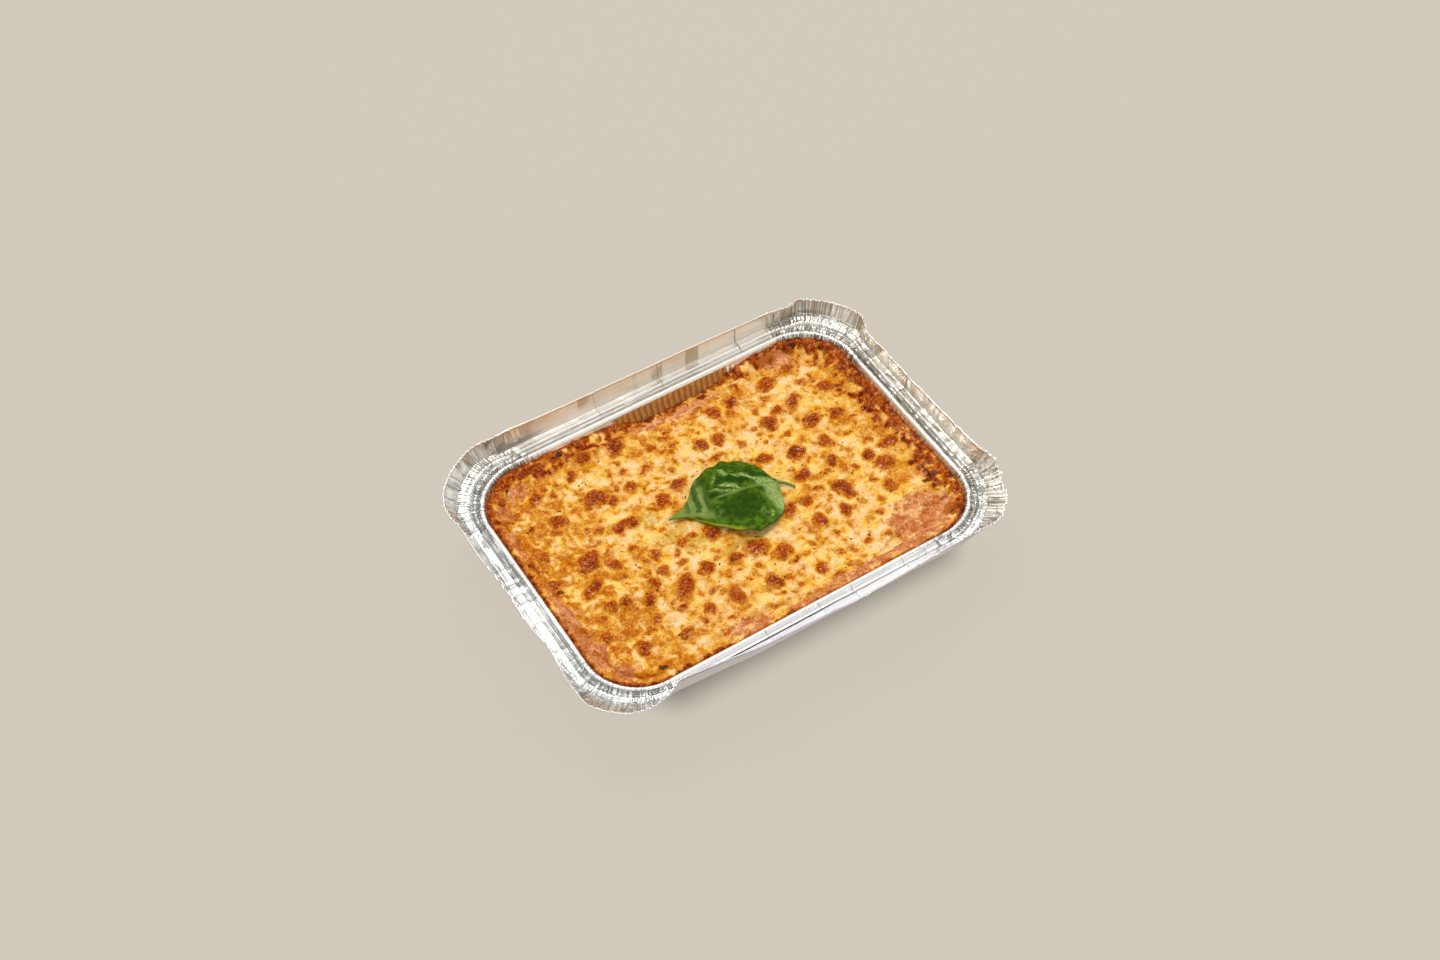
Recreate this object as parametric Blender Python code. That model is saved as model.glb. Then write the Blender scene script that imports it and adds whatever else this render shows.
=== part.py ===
"""A foil tray of baked lasagne with a basil leaf on top, as closed solids in metres, +Z up.

The tray's long side lies along X, the table is at Z = 0, and the Z axis stands in the tray's middle.
All lengths below are in millimetres and are turned into metres when a mesh is made.
"""
import math
import random

import bmesh
import bpy
from mathutils import Vector
from mathutils.geometry import delaunay_2d_cdt

MM = 0.001
GAP = 0.3

# Foil tray
RIM_Z = 35.0
HALF_X = 96.8
HALF_Y = 67.8
CORNER_R = 25.0
CORNER_R_PER_INSET = 0.3
SHEET = 0.35
FLOOR_INSET = 15.4
FLUTE_DEPTH = 0.45
FLUTES_LONG = 46
FLUTES_SHORT = 27
FLUTES_CORNER = 12
PLEAT_STEPS = 18
LONG_STEPS = 10
SHORT_STEPS = 7
LEDGE_OUT = 9.7
LIP_STRAIGHT = 9.2
HEM = 1.0

# Profile of the rim from the wall's foot to the fold of the lip: offset out, height, pleat height
WALL_FOOT = (-13.0, -33.2)
WALL_HEAD = (-1.0, -2.4)
RIM_PROFILE = (
    (-0.1, -0.5, 0.0),
    (1.3, 0.75, 0.05),
    (2.8, 0.15, 0.1),
    (3.7, -0.9, 0.15),
    (5.4, -0.75, 0.2),
    (6.4, 0.5, 0.3),
    (LEDGE_OUT, 0.3, 0.45),
)

# Lip round the rim. Station 0 to 1 is the right side, 1 to 2 the far right corner, and so on
# anticlockwise: 2 far side, 3 far left corner, 4 left side, 5 near left corner, 6 near side,
# 7 near right corner. Lean is 0 when the lip lies flat outward and 90 when it stands upright.
LIP_LEAN = (
    (0.00, 74), (0.12, 80), (0.30, 86), (0.50, 89), (0.80, 92), (0.98, 95), (1.08, 84), (1.16, 62),
    (1.30, 50), (1.50, 46), (1.64, 54), (1.72, 88), (1.90, 91), (2.15, 86), (2.40, 82), (2.60, 80),
    (2.90, 73), (2.98, 66), (3.08, 60), (3.20, 54), (3.35, 38), (3.50, 25), (3.62, 26), (3.72, 42),
    (3.82, 54), (4.00, 62), (4.20, 60), (4.40, 66), (4.75, 66), (4.90, 74), (5.05, 68), (5.20, 56),
    (5.32, 34), (5.60, 34), (5.76, 48), (5.90, 68), (6.00, 86), (6.28, 74), (6.49, 68), (6.59, 64),
    (6.82, 69), (7.05, 77), (7.20, 62), (7.32, 44), (7.46, 16), (7.60, 8), (7.80, 14), (7.92, 46),
    (8.00, 74),
)
LIP_WIDTH = (
    (0.00, 1.0), (1.06, 1.0), (1.14, 1.22), (1.64, 1.22), (1.72, 1.0), (2.96, 1.0), (3.06, 1.12),
    (3.66, 1.15), (3.90, 1.02), (5.15, 1.0), (5.32, 1.02), (5.75, 1.0), (6.00, 1.05), (7.05, 1.0),
    (7.25, 1.0), (7.50, 0.86), (7.85, 0.90), (8.00, 1.0),
)
LEDGE_WIDTH = (
    (0.00, 1.0), (5.20, 1.0), (5.60, 0.85), (6.00, 0.62), (6.27, 1.0), (8.00, 1.0),
)

# Food levels, measured from the rim plane
FOOD_SEAT_Z = -8.8
CHEESE_Z = -5.4
FOOD_EDGE_Z = (
    (0.00, -3.4), (0.30, -2.9), (1.00, -2.8), (1.50, -2.7), (2.05, -2.9), (2.18, -3.6), (2.27, -7.4),
    (2.52, -7.9), (2.60, -5.2), (2.68, -3.1), (3.10, -2.9), (3.50, -3.0), (4.50, -3.4), (5.50, -3.6),
    (6.50, -3.4), (7.50, -4.0), (8.00, -3.4),
)
# How far the cheese stops short of the tray's wall
CHEESE_MARGIN = (
    (0.00, 2.2), (0.55, 1.6), (1.10, 3.0), (1.40, 7.0), (1.75, 9.5), (2.05, 5.0), (2.35, 3.2),
    (2.70, 3.6), (3.10, 2.6), (3.60, 4.0), (4.00, 3.2), (4.40, 2.6), (4.80, 6.0), (5.20, 5.2),
    (5.60, 3.0), (6.10, 3.0), (6.30, 8.0), (6.42, 6.5), (6.52, 2.6), (6.75, 2.4), (6.92, 9.5),
    (7.10, 13.5), (7.40, 10.0), (7.75, 3.6), (8.00, 2.2),
)
SWELLS = 7
SWELL_HEIGHT = 0.22
FLOW_GRID = 5.3

# Browned blisters seen on the cheese: place, half length, half width, turn in degrees, height
BLISTERS = (
    (-48, 35, 7.5, 5.2, 10, 1.7), (-41, 30, 3.0, 2.5, 0, 0.9), (-68, 33, 4.8, 4.0, 0, 1.3),
    (-45, 15, 8.6, 2.6, -4, 1.2), (-68, 7, 7.5, 5.0, 30, 1.5), (-59, -1, 3.4, 2.8, 0, 1.0),
    (-74, -7, 6.2, 2.6, 34, 1.2), (-72, -20, 3.0, 2.8, 0, 1.1), (-66, -22, 2.9, 3.0, 0, 1.1),
    (-50, -19, 2.9, 2.8, 0, 1.2), (-42, -15, 3.0, 2.4, 0, 0.9), (-56, -26, 3.0, 2.8, 0, 1.1),
    (-41, -6, 2.9, 2.8, 0, 1.1), (-39, -28, 8.2, 4.2, 48, 1.5), (-26, -25, 4.0, 2.8, 0, 0.9),
    (-22, -44, 2.8, 5.6, 0, 1.4), (-12, -27, 4.4, 3.2, 0, 1.1), (-1, -27, 5.6, 4.8, -20, 1.8),
    (8, -35, 4.4, 3.8, 20, 1.4), (-14, -9, 4.4, 5.2, 0, 1.2), (-27, -7, 3.0, 2.4, 0, 0.9),
    (-23, 18, 4.4, 4.0, 0, 1.2), (-12, 22, 3.6, 3.0, 20, 1.0), (-31, 32, 3.0, 3.4, 0, 1.1),
    (-25, 56, 6.0, 3.6, 40, 1.3), (-42, 58, 3.4, 3.2, 0, 1.0), (-51, 53, 2.6, 2.6, 0, 0.9),
    (-71, 49, 3.0, 2.6, 0, 0.9), (24, 50, 4.2, 4.2, 0, 1.3), (35, 51, 3.8, 3.8, 0, 1.2),
    (9, 36, 3.2, 3.4, 0, 1.1), (18, 35, 3.2, 3.6, 0, 1.1), (43, 30, 3.8, 4.6, 0, 1.4),
    (55, 51, 6.0, 4.2, 0, 1.2), (60, 35, 5.6, 3.2, 48, 1.3), (50, 34, 2.8, 2.8, 0, 0.9),
    (78, 35, 3.8, 4.2, 0, 1.2), (61, 21, 5.2, 3.2, 12, 1.2), (74, 19, 3.8, 3.4, 0, 1.1),
    (30, 14, 3.0, 3.4, 0, 1.1), (44, 9, 4.6, 3.6, 20, 1.2), (60, 7, 3.2, 4.6, 0, 1.3),
    (56, -4, 3.0, 3.0, 0, 1.1), (72, -10, 2.6, 2.8, 0, 1.0), (84, -9, 4.6, 3.2, -10, 1.1),
    (39, -4, 4.4, 2.8, 24, 1.1), (23, -17, 4.6, 3.4, 35, 1.2), (32, -17, 3.0, 2.4, 0, 0.9),
    (51, -20, 4.2, 7.0, 18, 1.6), (76, -18, 4.8, 4.4, 0, 1.2), (32, -30, 3.8, 4.4, 0, 1.3),
    (45, -31, 3.0, 3.4, 0, 1.1), (70, -30, 3.8, 3.2, 0, 1.1), (-45, -37, 2.4, 2.4, 0, 0.9),
    (-71, -46, 3.4, 3.8, 0, 1.1), (-51, -49, 4.0, 2.2, 10, 0.9), (-4, -47, 3.0, 3.8, 0, 1.1),
    (18, -52, 3.4, 3.0, 0, 1.1), (-36, -43, 2.2, 3.2, 0, 0.8), (-82, -33, 2.6, 3.0, 0, 1.0),
)

# Basil leaf. Its axis runs from the foot of the blade to the tip, widths are along the axis
LEAF_FOOT = (25.4, -2.0)
LEAF_TIP = (-26.6, 5.8)
LEAF_THICK = 0.5
LEAF_LOW = -4.3
LEAF_UPPER = (
    (-0.030, 0.6), (0.00, 4.3), (0.035, 9.0), (0.085, 13.5), (0.16, 16.4), (0.25, 18.4), (0.34, 19.0),
    (0.44, 18.6), (0.55, 17.2), (0.64, 15.1), (0.72, 11.5), (0.80, 7.0), (0.88, 3.0), (0.95, 1.3),
    (1.00, 0.3),
)
LEAF_LOWER = (
    (-0.030, 0.6), (0.00, 10.2), (0.035, 13.8), (0.085, 17.4), (0.16, 20.0), (0.25, 22.4),
    (0.34, 23.4), (0.44, 21.2), (0.55, 17.4), (0.64, 14.2), (0.72, 9.6), (0.80, 5.2), (0.88, 2.6),
    (0.95, 1.2), (1.00, 0.3),
)
LEAF_ROWS = (-0.030, 0.0, 0.035, 0.085, 0.16, 0.25, 0.34, 0.44, 0.55, 0.64, 0.72, 0.80, 0.88, 0.95, 1.0)
LEAF_ACROSS = 7
STEM_LENGTH = 9.2
STEM_HALF = 0.65


def table(rows, at):
    """Value of a table of pairs at a place, along straight lines between its rows."""
    if at <= rows[0][0]:
        return rows[0][1]
    for (a, va), (b, vb) in zip(rows, rows[1:]):
        if at <= b:
            return va + (vb - va) * (at - a) / (b - a)
    return rows[-1][1]


def smooth(x):
    x = min(1.0, max(0.0, x))
    return x * x * (3 - 2 * x)


def loop_point(offset, station):
    """Point of the rounded rectangle that lies offset outside the rim's inner edge, and its normal."""
    station = station % 8
    part = int(station)
    along = station - part
    r = CORNER_R + (offset if offset > 0 else offset * CORNER_R_PER_INSET)
    hx, hy = HALF_X + offset, HALF_Y + offset
    ax, ay = hx - r, hy - r
    side = part // 2
    if part % 2:
        turn = math.radians(90 * (side + along))
        cx = ax if side in (0, 3) else -ax
        cy = ay if side in (0, 1) else -ay
        nx, ny = math.cos(turn), math.sin(turn)
        return cx + r * nx, cy + r * ny, nx, ny
    run = 2 * along - 1
    if side == 0:
        return hx, ay * run, 1.0, 0.0
    if side == 1:
        return -ax * run, hy, 0.0, 1.0
    if side == 2:
        return -hx, -ay * run, -1.0, 0.0
    return ax * run, -hy, 0.0, -1.0


def stations(long_steps, short_steps, corner_steps):
    """Stations once round the tray, with a given number on each side and in each corner."""
    counts = (short_steps, corner_steps, long_steps, corner_steps) * 2
    return [part + k / n for part, n in enumerate(counts) for k in range(n)]


class Shell:
    """Vertices and faces of one mesh, collected ring by ring."""

    def __init__(self):
        self.verts = []
        self.faces = []

    def ring(self, points):
        first = len(self.verts)
        self.verts.extend(points)
        return list(range(first, first + len(points)))

    def stitch(self, lower, lower_at, upper, upper_at):
        """Triangles between two rings whose points lie at rising stations."""
        i = j = 0
        n, m = len(lower), len(upper)
        while i < n or j < m:
            next_i = lower_at[(i + 1) % n] + (8 if i + 1 >= n else 0)
            next_j = upper_at[(j + 1) % m] + (8 if j + 1 >= m else 0)
            if j >= m or (i < n and next_i <= next_j):
                self.faces.append((lower[i % n], lower[(i + 1) % n], upper[j % m]))
                i += 1
            else:
                self.faces.append((lower[i % n], upper[(j + 1) % m], upper[j % m]))
                j += 1

    def band(self, lower, upper):
        n = len(lower)
        for i in range(n):
            j = (i + 1) % n
            self.faces.append((lower[i], lower[j], upper[j], upper[i]))

    def make(self, name):
        mesh = bpy.data.meshes.new(name)
        mesh.from_pydata([Vector(v) * MM for v in self.verts], [], self.faces)
        bm = bmesh.new()
        bm.from_mesh(mesh)
        bmesh.ops.triangulate(bm, faces=bm.faces[:])
        bmesh.ops.recalc_face_normals(bm, faces=bm.faces[:])
        bm.to_mesh(mesh)
        bm.free()
        obj = bpy.data.objects.new(name, mesh)
        bpy.context.scene.collection.objects.link(obj)
        return obj


def material(name, colour, roughness, metallic):
    made = bpy.data.materials.new(name)
    made.use_nodes = True
    shader = next(n for n in made.node_tree.nodes if n.type == "BSDF_PRINCIPLED")
    shader.inputs["Base Color"].default_value = (*colour, 1.0)
    shader.inputs["Roughness"].default_value = roughness
    shader.inputs["Metallic"].default_value = metallic
    made.diffuse_color = (*colour, 1.0)
    return made


def dress(obj, mat, smooth_degrees):
    obj.data.materials.append(mat)
    obj.data.shade_smooth()
    obj.data.set_sharp_from_angle(angle=math.radians(smooth_degrees))


def wall_offset(z):
    """Offset of the tray's wall at a height below the rim plane, on the middle of the flutes."""
    (fo, fz), (ho, hz) = WALL_FOOT, WALL_HEAD
    return fo + (ho - fo) * (z - fz) / (hz - fz)


def under_profile(points):
    """The same line moved down and out by the sheet's thickness."""
    out = []
    for i, (o, z) in enumerate(points):
        before = points[max(i - 1, 0)]
        after = points[min(i + 1, len(points) - 1)]
        normals = []
        for (o0, z0), (o1, z1) in ((before, (o, z)), ((o, z), after)):
            length = math.hypot(o1 - o0, z1 - z0)
            if length > 1e-9:
                normals.append(((z1 - z0) / length, -(o1 - o0) / length))
        mo = sum(n[0] for n in normals)
        mz = sum(n[1] for n in normals)
        size = math.hypot(mo, mz)
        mo, mz = mo / size, mz / size
        fit = SHEET / max(0.5, mo * normals[0][0] + mz * normals[0][1])
        out.append((o + mo * fit, z + mz * fit))
    return out


def foil_tray():
    rng = random.Random(41)
    coarse = stations(LONG_STEPS, SHORT_STEPS, PLEAT_STEPS)
    fine = stations(2 * FLUTES_LONG, 2 * FLUTES_SHORT, 2 * FLUTES_CORNER)
    plain = stations(4, 4, 10)
    top = {}
    under = {}
    for station in coarse:
        part = int(station)
        steps = PLEAT_STEPS if part % 2 else (SHORT_STEPS if part % 4 == 0 else LONG_STEPS)
        order = round((station - part) * steps)
        fold = (1 if order % 2 else -1) * (1.0 if part % 2 else 0.25)
        lean = math.radians(table(LIP_LEAN, station) + rng.uniform(-2.5, 2.5))
        width = LIP_STRAIGHT * table(LIP_WIDTH, station) + rng.uniform(-0.25, 0.25)
        if 7.2 < station < 7.9:
            width += rng.uniform(-1.2, 1.0)
        ledge = table(LEDGE_WIDTH, station)
        line = []
        for o, z, pleat in RIM_PROFILE:
            out = o if o < 3 else 3 + (o - 3) * ledge
            line.append((out, z + pleat * fold))
        fo, fz = line[-1]
        do, dz = math.cos(lean), math.sin(lean)
        no, nz = -dz, do
        bow = 0.35 * fold
        for share, push in ((0.5, bow), (1 - 1.3 / width, bow * 1.5), (1.0, bow * 1.5)):
            line.append((fo + do * width * share + no * push, fz + dz * width * share + nz * push))
        below = under_profile([WALL_HEAD] + line)[1:]
        eo, ez = line[-1]
        hem = [
            (eo - do * 0.15 - no * HEM, ez - dz * 0.15 - nz * HEM),
            (eo - do * 1.25 - no * HEM, ez - dz * 1.25 - nz * HEM),
        ]
        below[-1] = (eo - do * 1.6 - no * (SHEET + 0.05), ez - dz * 1.6 - nz * (SHEET + 0.05))
        below[-2] = (eo - do * 3.0 - no * SHEET, ez - dz * 3.0 - nz * SHEET)
        top[station] = line + hem
        under[station] = below

    def row(source, index):
        points = []
        for station in coarse:
            o, z = source[station][index]
            x, y, _, _ = loop_point(o, station)
            points.append((x, y, RIM_Z + z))
        return points

    def fluted(offset, z):
        points = []
        for k, station in enumerate(fine):
            x, y, nx, ny = loop_point(offset, station)
            push = FLUTE_DEPTH * (1 if k % 2 else -1)
            points.append((x + nx * push, y + ny * push, RIM_Z + z))
        return points

    shell = Shell()
    foot, head = WALL_FOOT, WALL_HEAD
    top_floor = shell.ring([(*loop_point(-FLOOR_INSET, s)[:2], SHEET) for s in plain])
    top_foot = shell.ring(fluted(*foot))
    top_head = shell.ring(fluted(*head))
    shell.faces.append(tuple(top_floor))
    shell.stitch(top_floor, plain, top_foot, fine)
    shell.band(top_foot, top_head)
    rings = [shell.ring(row(top, k)) for k in range(len(top[0.0]))]
    rings += [shell.ring(row(under, k)) for k in reversed(range(len(under[0.0])))]
    shell.stitch(top_head, fine, rings[0], coarse)
    for a, b in zip(rings, rings[1:]):
        shell.band(a, b)
    under_head = shell.ring(fluted(head[0] + SHEET, head[1] - 0.1))
    under_foot = shell.ring(fluted(foot[0] + SHEET * 0.9, foot[1] - SHEET * 0.6))
    under_floor = shell.ring([(*loop_point(-FLOOR_INSET + 0.1, s)[:2], 0.0) for s in plain])
    shell.stitch(rings[-1], coarse, under_head, fine)
    shell.band(under_head, under_foot)
    shell.stitch(under_foot, fine, under_floor, plain)
    shell.faces.append(tuple(reversed(under_floor)))
    return shell.make("foil_tray")


def swell_terms():
    rng = random.Random(7)
    terms = []
    for _ in range(SWELLS):
        turn = rng.uniform(0, math.tau)
        wave = rng.uniform(16, 46)
        terms.append((math.cos(turn) * math.tau / wave, math.sin(turn) * math.tau / wave,
                      rng.uniform(0, math.tau)))
    return terms


SWELL_TERMS = swell_terms()


def swell(x, y):
    return SWELL_HEIGHT * sum(math.sin(kx * x + ky * y + p) for kx, ky, p in SWELL_TERMS)


def blister_height(x, y):
    """Height of the browned blisters, each a low dome with a soft foot."""
    best = 0.0
    for bx, by, long_half, wide_half, turn, height in BLISTERS:
        dx, dy = x - bx, y - by
        if abs(dx) > 10 or abs(dy) > 10:
            continue
        c, s = math.cos(math.radians(turn)), math.sin(math.radians(turn))
        u = (dx * c + dy * s) / (long_half + 0.6)
        v = (dy * c - dx * s) / (wide_half + 0.6)
        reach = math.hypot(u, v)
        if reach < 1:
            best = max(best, height * math.sqrt(1 - reach ** 2) * smooth((1 - reach) * 4 + 0.2))
    return best


def under_leaf(x, y):
    """1 under the basil leaf and 0 well away from it."""
    return smooth(1.6 - math.hypot((x - 2) / 27, (y - 1) / 20))


def edge_level(x, y):
    """Station of the nearest part of the wall, and how far inside the food's rim a point lies."""
    ax, ay = HALF_X - CORNER_R, HALF_Y - CORNER_R
    if abs(x) > ax and abs(y) > ay:
        cx, cy = math.copysign(ax, x), math.copysign(ay, y)
        turn = math.degrees(math.atan2(y - cy, x - cx)) % 360
        station = 2 * int(turn // 90) + 1 + (turn % 90) / 90
        return station, CORNER_R - math.hypot(x - cx, y - cy)
    if HALF_X - abs(x) < HALF_Y - abs(y):
        run = (y / ay if x > 0 else -y / ay)
        return (0 if x > 0 else 4) + (run + 1) / 2, HALF_X - abs(x)
    run = (-x / ax if y > 0 else x / ax)
    return (2 if y > 0 else 6) + (min(1, max(-1, run)) + 1) / 2, HALF_Y - abs(y)


def sauce_level(x, y):
    station, inside = edge_level(x, y)
    away = smooth((inside - 2) / 9)
    edge = table(FOOD_EDGE_Z, station)
    return edge + (-7.0 - edge) * away + 0.55 * swell(x * 1.7, y * 1.7) - 0.3


def cheese_level(x, y):
    station, inside = edge_level(x, y)
    edge = table(FOOD_EDGE_Z, station) + 0.3
    away = smooth((inside - 3) / 12)
    level = edge + (CHEESE_Z - edge) * away + swell(x, y)
    cover = under_leaf(x, y)
    level = level * (1 - cover) + min(level, CHEESE_Z) * cover
    return level + blister_height(x, y) * (1 - 0.65 * cover)


def food_edge(z, extra):
    return wall_offset(z) - FLUTE_DEPTH - GAP - 0.1 - extra


def cheese_outline(extra):
    """Loop round the cheese, moved outward by extra."""
    rng = random.Random(23)
    points = []
    for station in stations(26, 18, 12):
        margin = table(CHEESE_MARGIN, station) + rng.uniform(-0.6, 0.6)
        x, y, _, _ = loop_point(food_edge(-6.0, margin) + extra, station)
        points.append((x, y))
    return points


def filled_plane(loops, inner_points):
    """Triangles over flat loops and loose points, with the loops' edges kept."""
    flat = []
    edges = []
    for loop in loops:
        first = len(flat)
        flat.extend(loop)
        edges.extend((first + k, first + (k + 1) % len(loop)) for k in range(len(loop)))
    flat.extend(inner_points)
    verts, _, faces, source, _, _ = delaunay_2d_cdt([Vector(p) for p in flat], edges, [], 1, 1e-5)
    return [tuple(v) for v in verts], faces, source


def lasagne_filling():
    steps = stations(26, 18, 12)
    shell = Shell()
    base = shell.ring([(*loop_point(-16.6, s)[:2], SHEET + GAP) for s in steps])
    foot = shell.ring([(*loop_point(WALL_FOOT[0] - 1.1, s)[:2], RIM_Z + WALL_FOOT[1]) for s in steps])
    rim_loop = []
    for s in steps:
        z = table(FOOD_EDGE_Z, s) - 0.5
        x, y, _, _ = loop_point(food_edge(z, 0.0), s)
        rim_loop.append((x, y, z))
    crown_loop = []
    for s in steps:
        z = table(FOOD_EDGE_Z, s) - 0.15
        x, y, _, _ = loop_point(food_edge(z, 0.8), s)
        crown_loop.append((x, y, z))
    seat = cheese_outline(0.4)
    step_top = cheese_outline(0.75)
    rng = random.Random(5)
    loose = []
    for s in stations(40, 28, 18):
        margin = table(CHEESE_MARGIN, s)
        span = margin - 2.6
        rows = int(span / 3.0)
        for k in range(rows):
            inset = 2.4 + (k + rng.uniform(0.2, 0.6)) * span / max(rows, 1)
            if inset < margin - 1.9:
                x, y, _, _ = loop_point(food_edge(-6.0, inset), s)
                loose.append((x, y))
    verts, faces, source = filled_plane(
        [[p[:2] for p in crown_loop], step_top, seat], loose)
    levels = [p[2] for p in crown_loop]
    levels += [min(sauce_level(x, y), cheese_level(x, y) - 0.5) for x, y in step_top]
    levels += [FOOD_SEAT_Z] * len(seat)
    levels += [sauce_level(x, y) for x, y in loose]
    top = []
    for (x, y), ids in zip(verts, source):
        top.append((x, y, RIM_Z + levels[ids[0]]))
    side = shell.ring([(x, y, RIM_Z + z) for x, y, z in rim_loop])
    ids = shell.ring(top)
    shell.faces.append(tuple(reversed(base)))
    shell.band(base, foot)
    shell.band(foot, side)
    where = {source[i][0]: ids[i] for i in range(len(ids))}
    crown = [where[k] for k in range(len(crown_loop))]
    shell.band(side, crown)
    shell.faces.extend(tuple(ids[v] for v in face) for face in faces)
    return shell.make("lasagne_filling")


def inside(point, loop):
    x, y = point
    hit = False
    for (x0, y0), (x1, y1) in zip(loop, loop[1:] + loop[:1]):
        if (y0 > y) != (y1 > y) and x < x0 + (x1 - x0) * (y - y0) / (y1 - y0):
            hit = not hit
    return hit


def cheese_topping():
    outline = cheese_outline(0.0)
    guard = cheese_outline(-1.6)
    rng = random.Random(19)
    loose = []
    for bx, by, long_half, wide_half, turn, _ in BLISTERS:
        c, s = math.cos(math.radians(turn)), math.sin(math.radians(turn))
        loose.append((bx, by))
        for ring, count in ((0.62, 5), (1.0, 9)):
            for k in range(count):
                angle = math.tau * (k + 0.5 * (ring < 1)) / count
                u = math.cos(angle) * (long_half + 0.5) * ring
                v = math.sin(angle) * (wide_half + 0.5) * ring
                loose.append((bx + u * c - v * s, by + u * s + v * c))
    columns = int(2 * HALF_X / FLOW_GRID)
    rows = int(2 * HALF_Y / FLOW_GRID)
    for i in range(columns):
        for j in range(rows):
            x = -HALF_X + (i + 0.5 * (j % 2) + rng.uniform(0.2, 0.7)) * FLOW_GRID
            y = -HALF_Y + (j + rng.uniform(0.2, 0.7)) * FLOW_GRID
            if all(math.hypot(x - b[0], y - b[1]) > max(b[2], b[3]) + 1.4 for b in BLISTERS):
                loose.append((x, y))
    kept = []
    for p in loose:
        if inside(p, guard) and all(abs(p[0] - q[0]) + abs(p[1] - q[1]) > 1.1 for q in kept):
            kept.append(p)
    verts, faces, source = filled_plane([outline], kept)
    bottom_z = RIM_Z + FOOD_SEAT_Z + GAP
    shell = Shell()
    low = shell.ring([(x, y, bottom_z) for x, y in outline])
    top = []
    for (x, y), ids in zip(verts, source):
        z = cheese_level(x, y)
        if ids[0] < len(outline):
            z -= 0.35
        top.append((x, y, RIM_Z + z))
    ids = shell.ring(top)
    where = {source[i][0]: ids[i] for i in range(len(ids))}
    shell.faces.append(tuple(reversed(low)))
    shell.band(low, [where[k] for k in range(len(outline))])
    shell.faces.extend(tuple(ids[v] for v in face) for face in faces)
    return shell.make("cheese_topping")


def leaf_height(along, across):
    """Height of the leaf's middle surface: a domed blade, one half hollow, with wavy edges."""
    lift = 1.1 + 4.0 * math.sin(math.pi * min(1.0, max(0.0, along)) ** 0.8) ** 0.9
    droop = 2.0 * abs(across) ** 2.2
    if across > 0:
        body = 1.3 * math.sin(math.pi * across) * math.sin(math.pi * min(1, max(0, along)))
    else:
        body = -1.4 * math.sin(-math.pi * across) * smooth(1.2 - along)
    wave = 0.55 * math.sin(11 * along + 2.4 * across) * abs(across)
    fold = -1.5 * smooth((along - 0.62) * 6) * smooth((1 - along) * 5)
    return LEAF_LOW + lift - droop + body + wave + fold


def basil_leaf():
    fx, fy = LEAF_FOOT
    tx, ty = LEAF_TIP
    length = math.hypot(tx - fx, ty - fy)
    dx, dy = (tx - fx) / length, (ty - fy) / length
    stem_turn = math.radians(-47)
    stations_along = []
    for k in (3, 2, 1):
        run = STEM_LENGTH * k / 3
        bend = stem_turn * (0.55 + 0.45 * k / 3)
        px = fx + math.cos(bend) * run + 0.4
        py = fy + math.sin(bend) * run
        stations_along.append((px, py, -math.cos(bend), -math.sin(bend), -0.03, STEM_HALF, STEM_HALF,
                               -0.5 * k / 3))
    for a in LEAF_ROWS:
        stations_along.append((fx + dx * length * a, fy + dy * length * a, dx, dy, a,
                               table(LEAF_UPPER, a), table(LEAF_LOWER, a), 0.0))
    upper, lower = [], []
    for px, py, ax, ay, a, wide_up, wide_low, drop in stations_along:
        nx, ny = ay, -ax
        for k in range(-LEAF_ACROSS, LEAF_ACROSS + 1):
            v = k / LEAF_ACROSS
            reach = v * (wide_up if v > 0 else wide_low)
            x, y = px + nx * reach, py + ny * reach
            shape = v * min(1.0, (wide_up + wide_low) / 12)
            z = leaf_height(a, shape) + drop
            z = max(z, cheese_level(x, y) + 0.75)
            upper.append((x, y, RIM_Z + z + LEAF_THICK / 2))
            lower.append((x, y, RIM_Z + z - LEAF_THICK / 2))
    shell = Shell()
    top = shell.ring(upper)
    low = shell.ring(lower)
    wide = 2 * LEAF_ACROSS + 1
    rows = len(stations_along)
    for r in range(rows - 1):
        for c in range(wide - 1):
            a, b = r * wide + c, r * wide + c + 1
            d, e = a + wide, b + wide
            shell.faces.append((top[a], top[b], top[e]))
            shell.faces.append((top[a], top[e], top[d]))
            shell.faces.append((low[a], low[e], low[b]))
            shell.faces.append((low[a], low[d], low[e]))
    rim = [c for c in range(wide)]
    rim += [r * wide + wide - 1 for r in range(1, rows)]
    rim += [(rows - 1) * wide + c for c in reversed(range(wide - 1))]
    rim += [r * wide for r in reversed(range(1, rows - 1))]
    shell.band([low[i] for i in rim], [top[i] for i in rim])
    return shell.make("basil_leaf")


def main():
    for obj in list(bpy.data.objects):
        bpy.data.objects.remove(obj, do_unlink=True)
    dress(foil_tray(), material("foil", (0.86, 0.86, 0.87), 0.28, 1.0), 30)
    dress(lasagne_filling(), material("tomato_sauce", (0.62, 0.20, 0.07), 0.45, 0.0), 40)
    dress(cheese_topping(), material("baked_cheese", (0.83, 0.55, 0.22), 0.42, 0.0), 50)
    dress(basil_leaf(), material("basil_green", (0.06, 0.20, 0.03), 0.38, 0.0), 50)


main()
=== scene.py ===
"""Foil tray of baked lasagne: the dressed model, its floor, lights and camera.

Laid out as an add-on: settings, one operator for each piece, a sidebar panel, and main() at the end.
Shapes are worked out in millimetres and made in metres, in the frame of the solid model.
"""

import math
import random

import bmesh
import bpy
import numpy as np
from bpy.props import FloatProperty, FloatVectorProperty, IntProperty, PointerProperty
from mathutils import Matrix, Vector, noise
from mathutils.geometry import delaunay_2d_cdt


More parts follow.
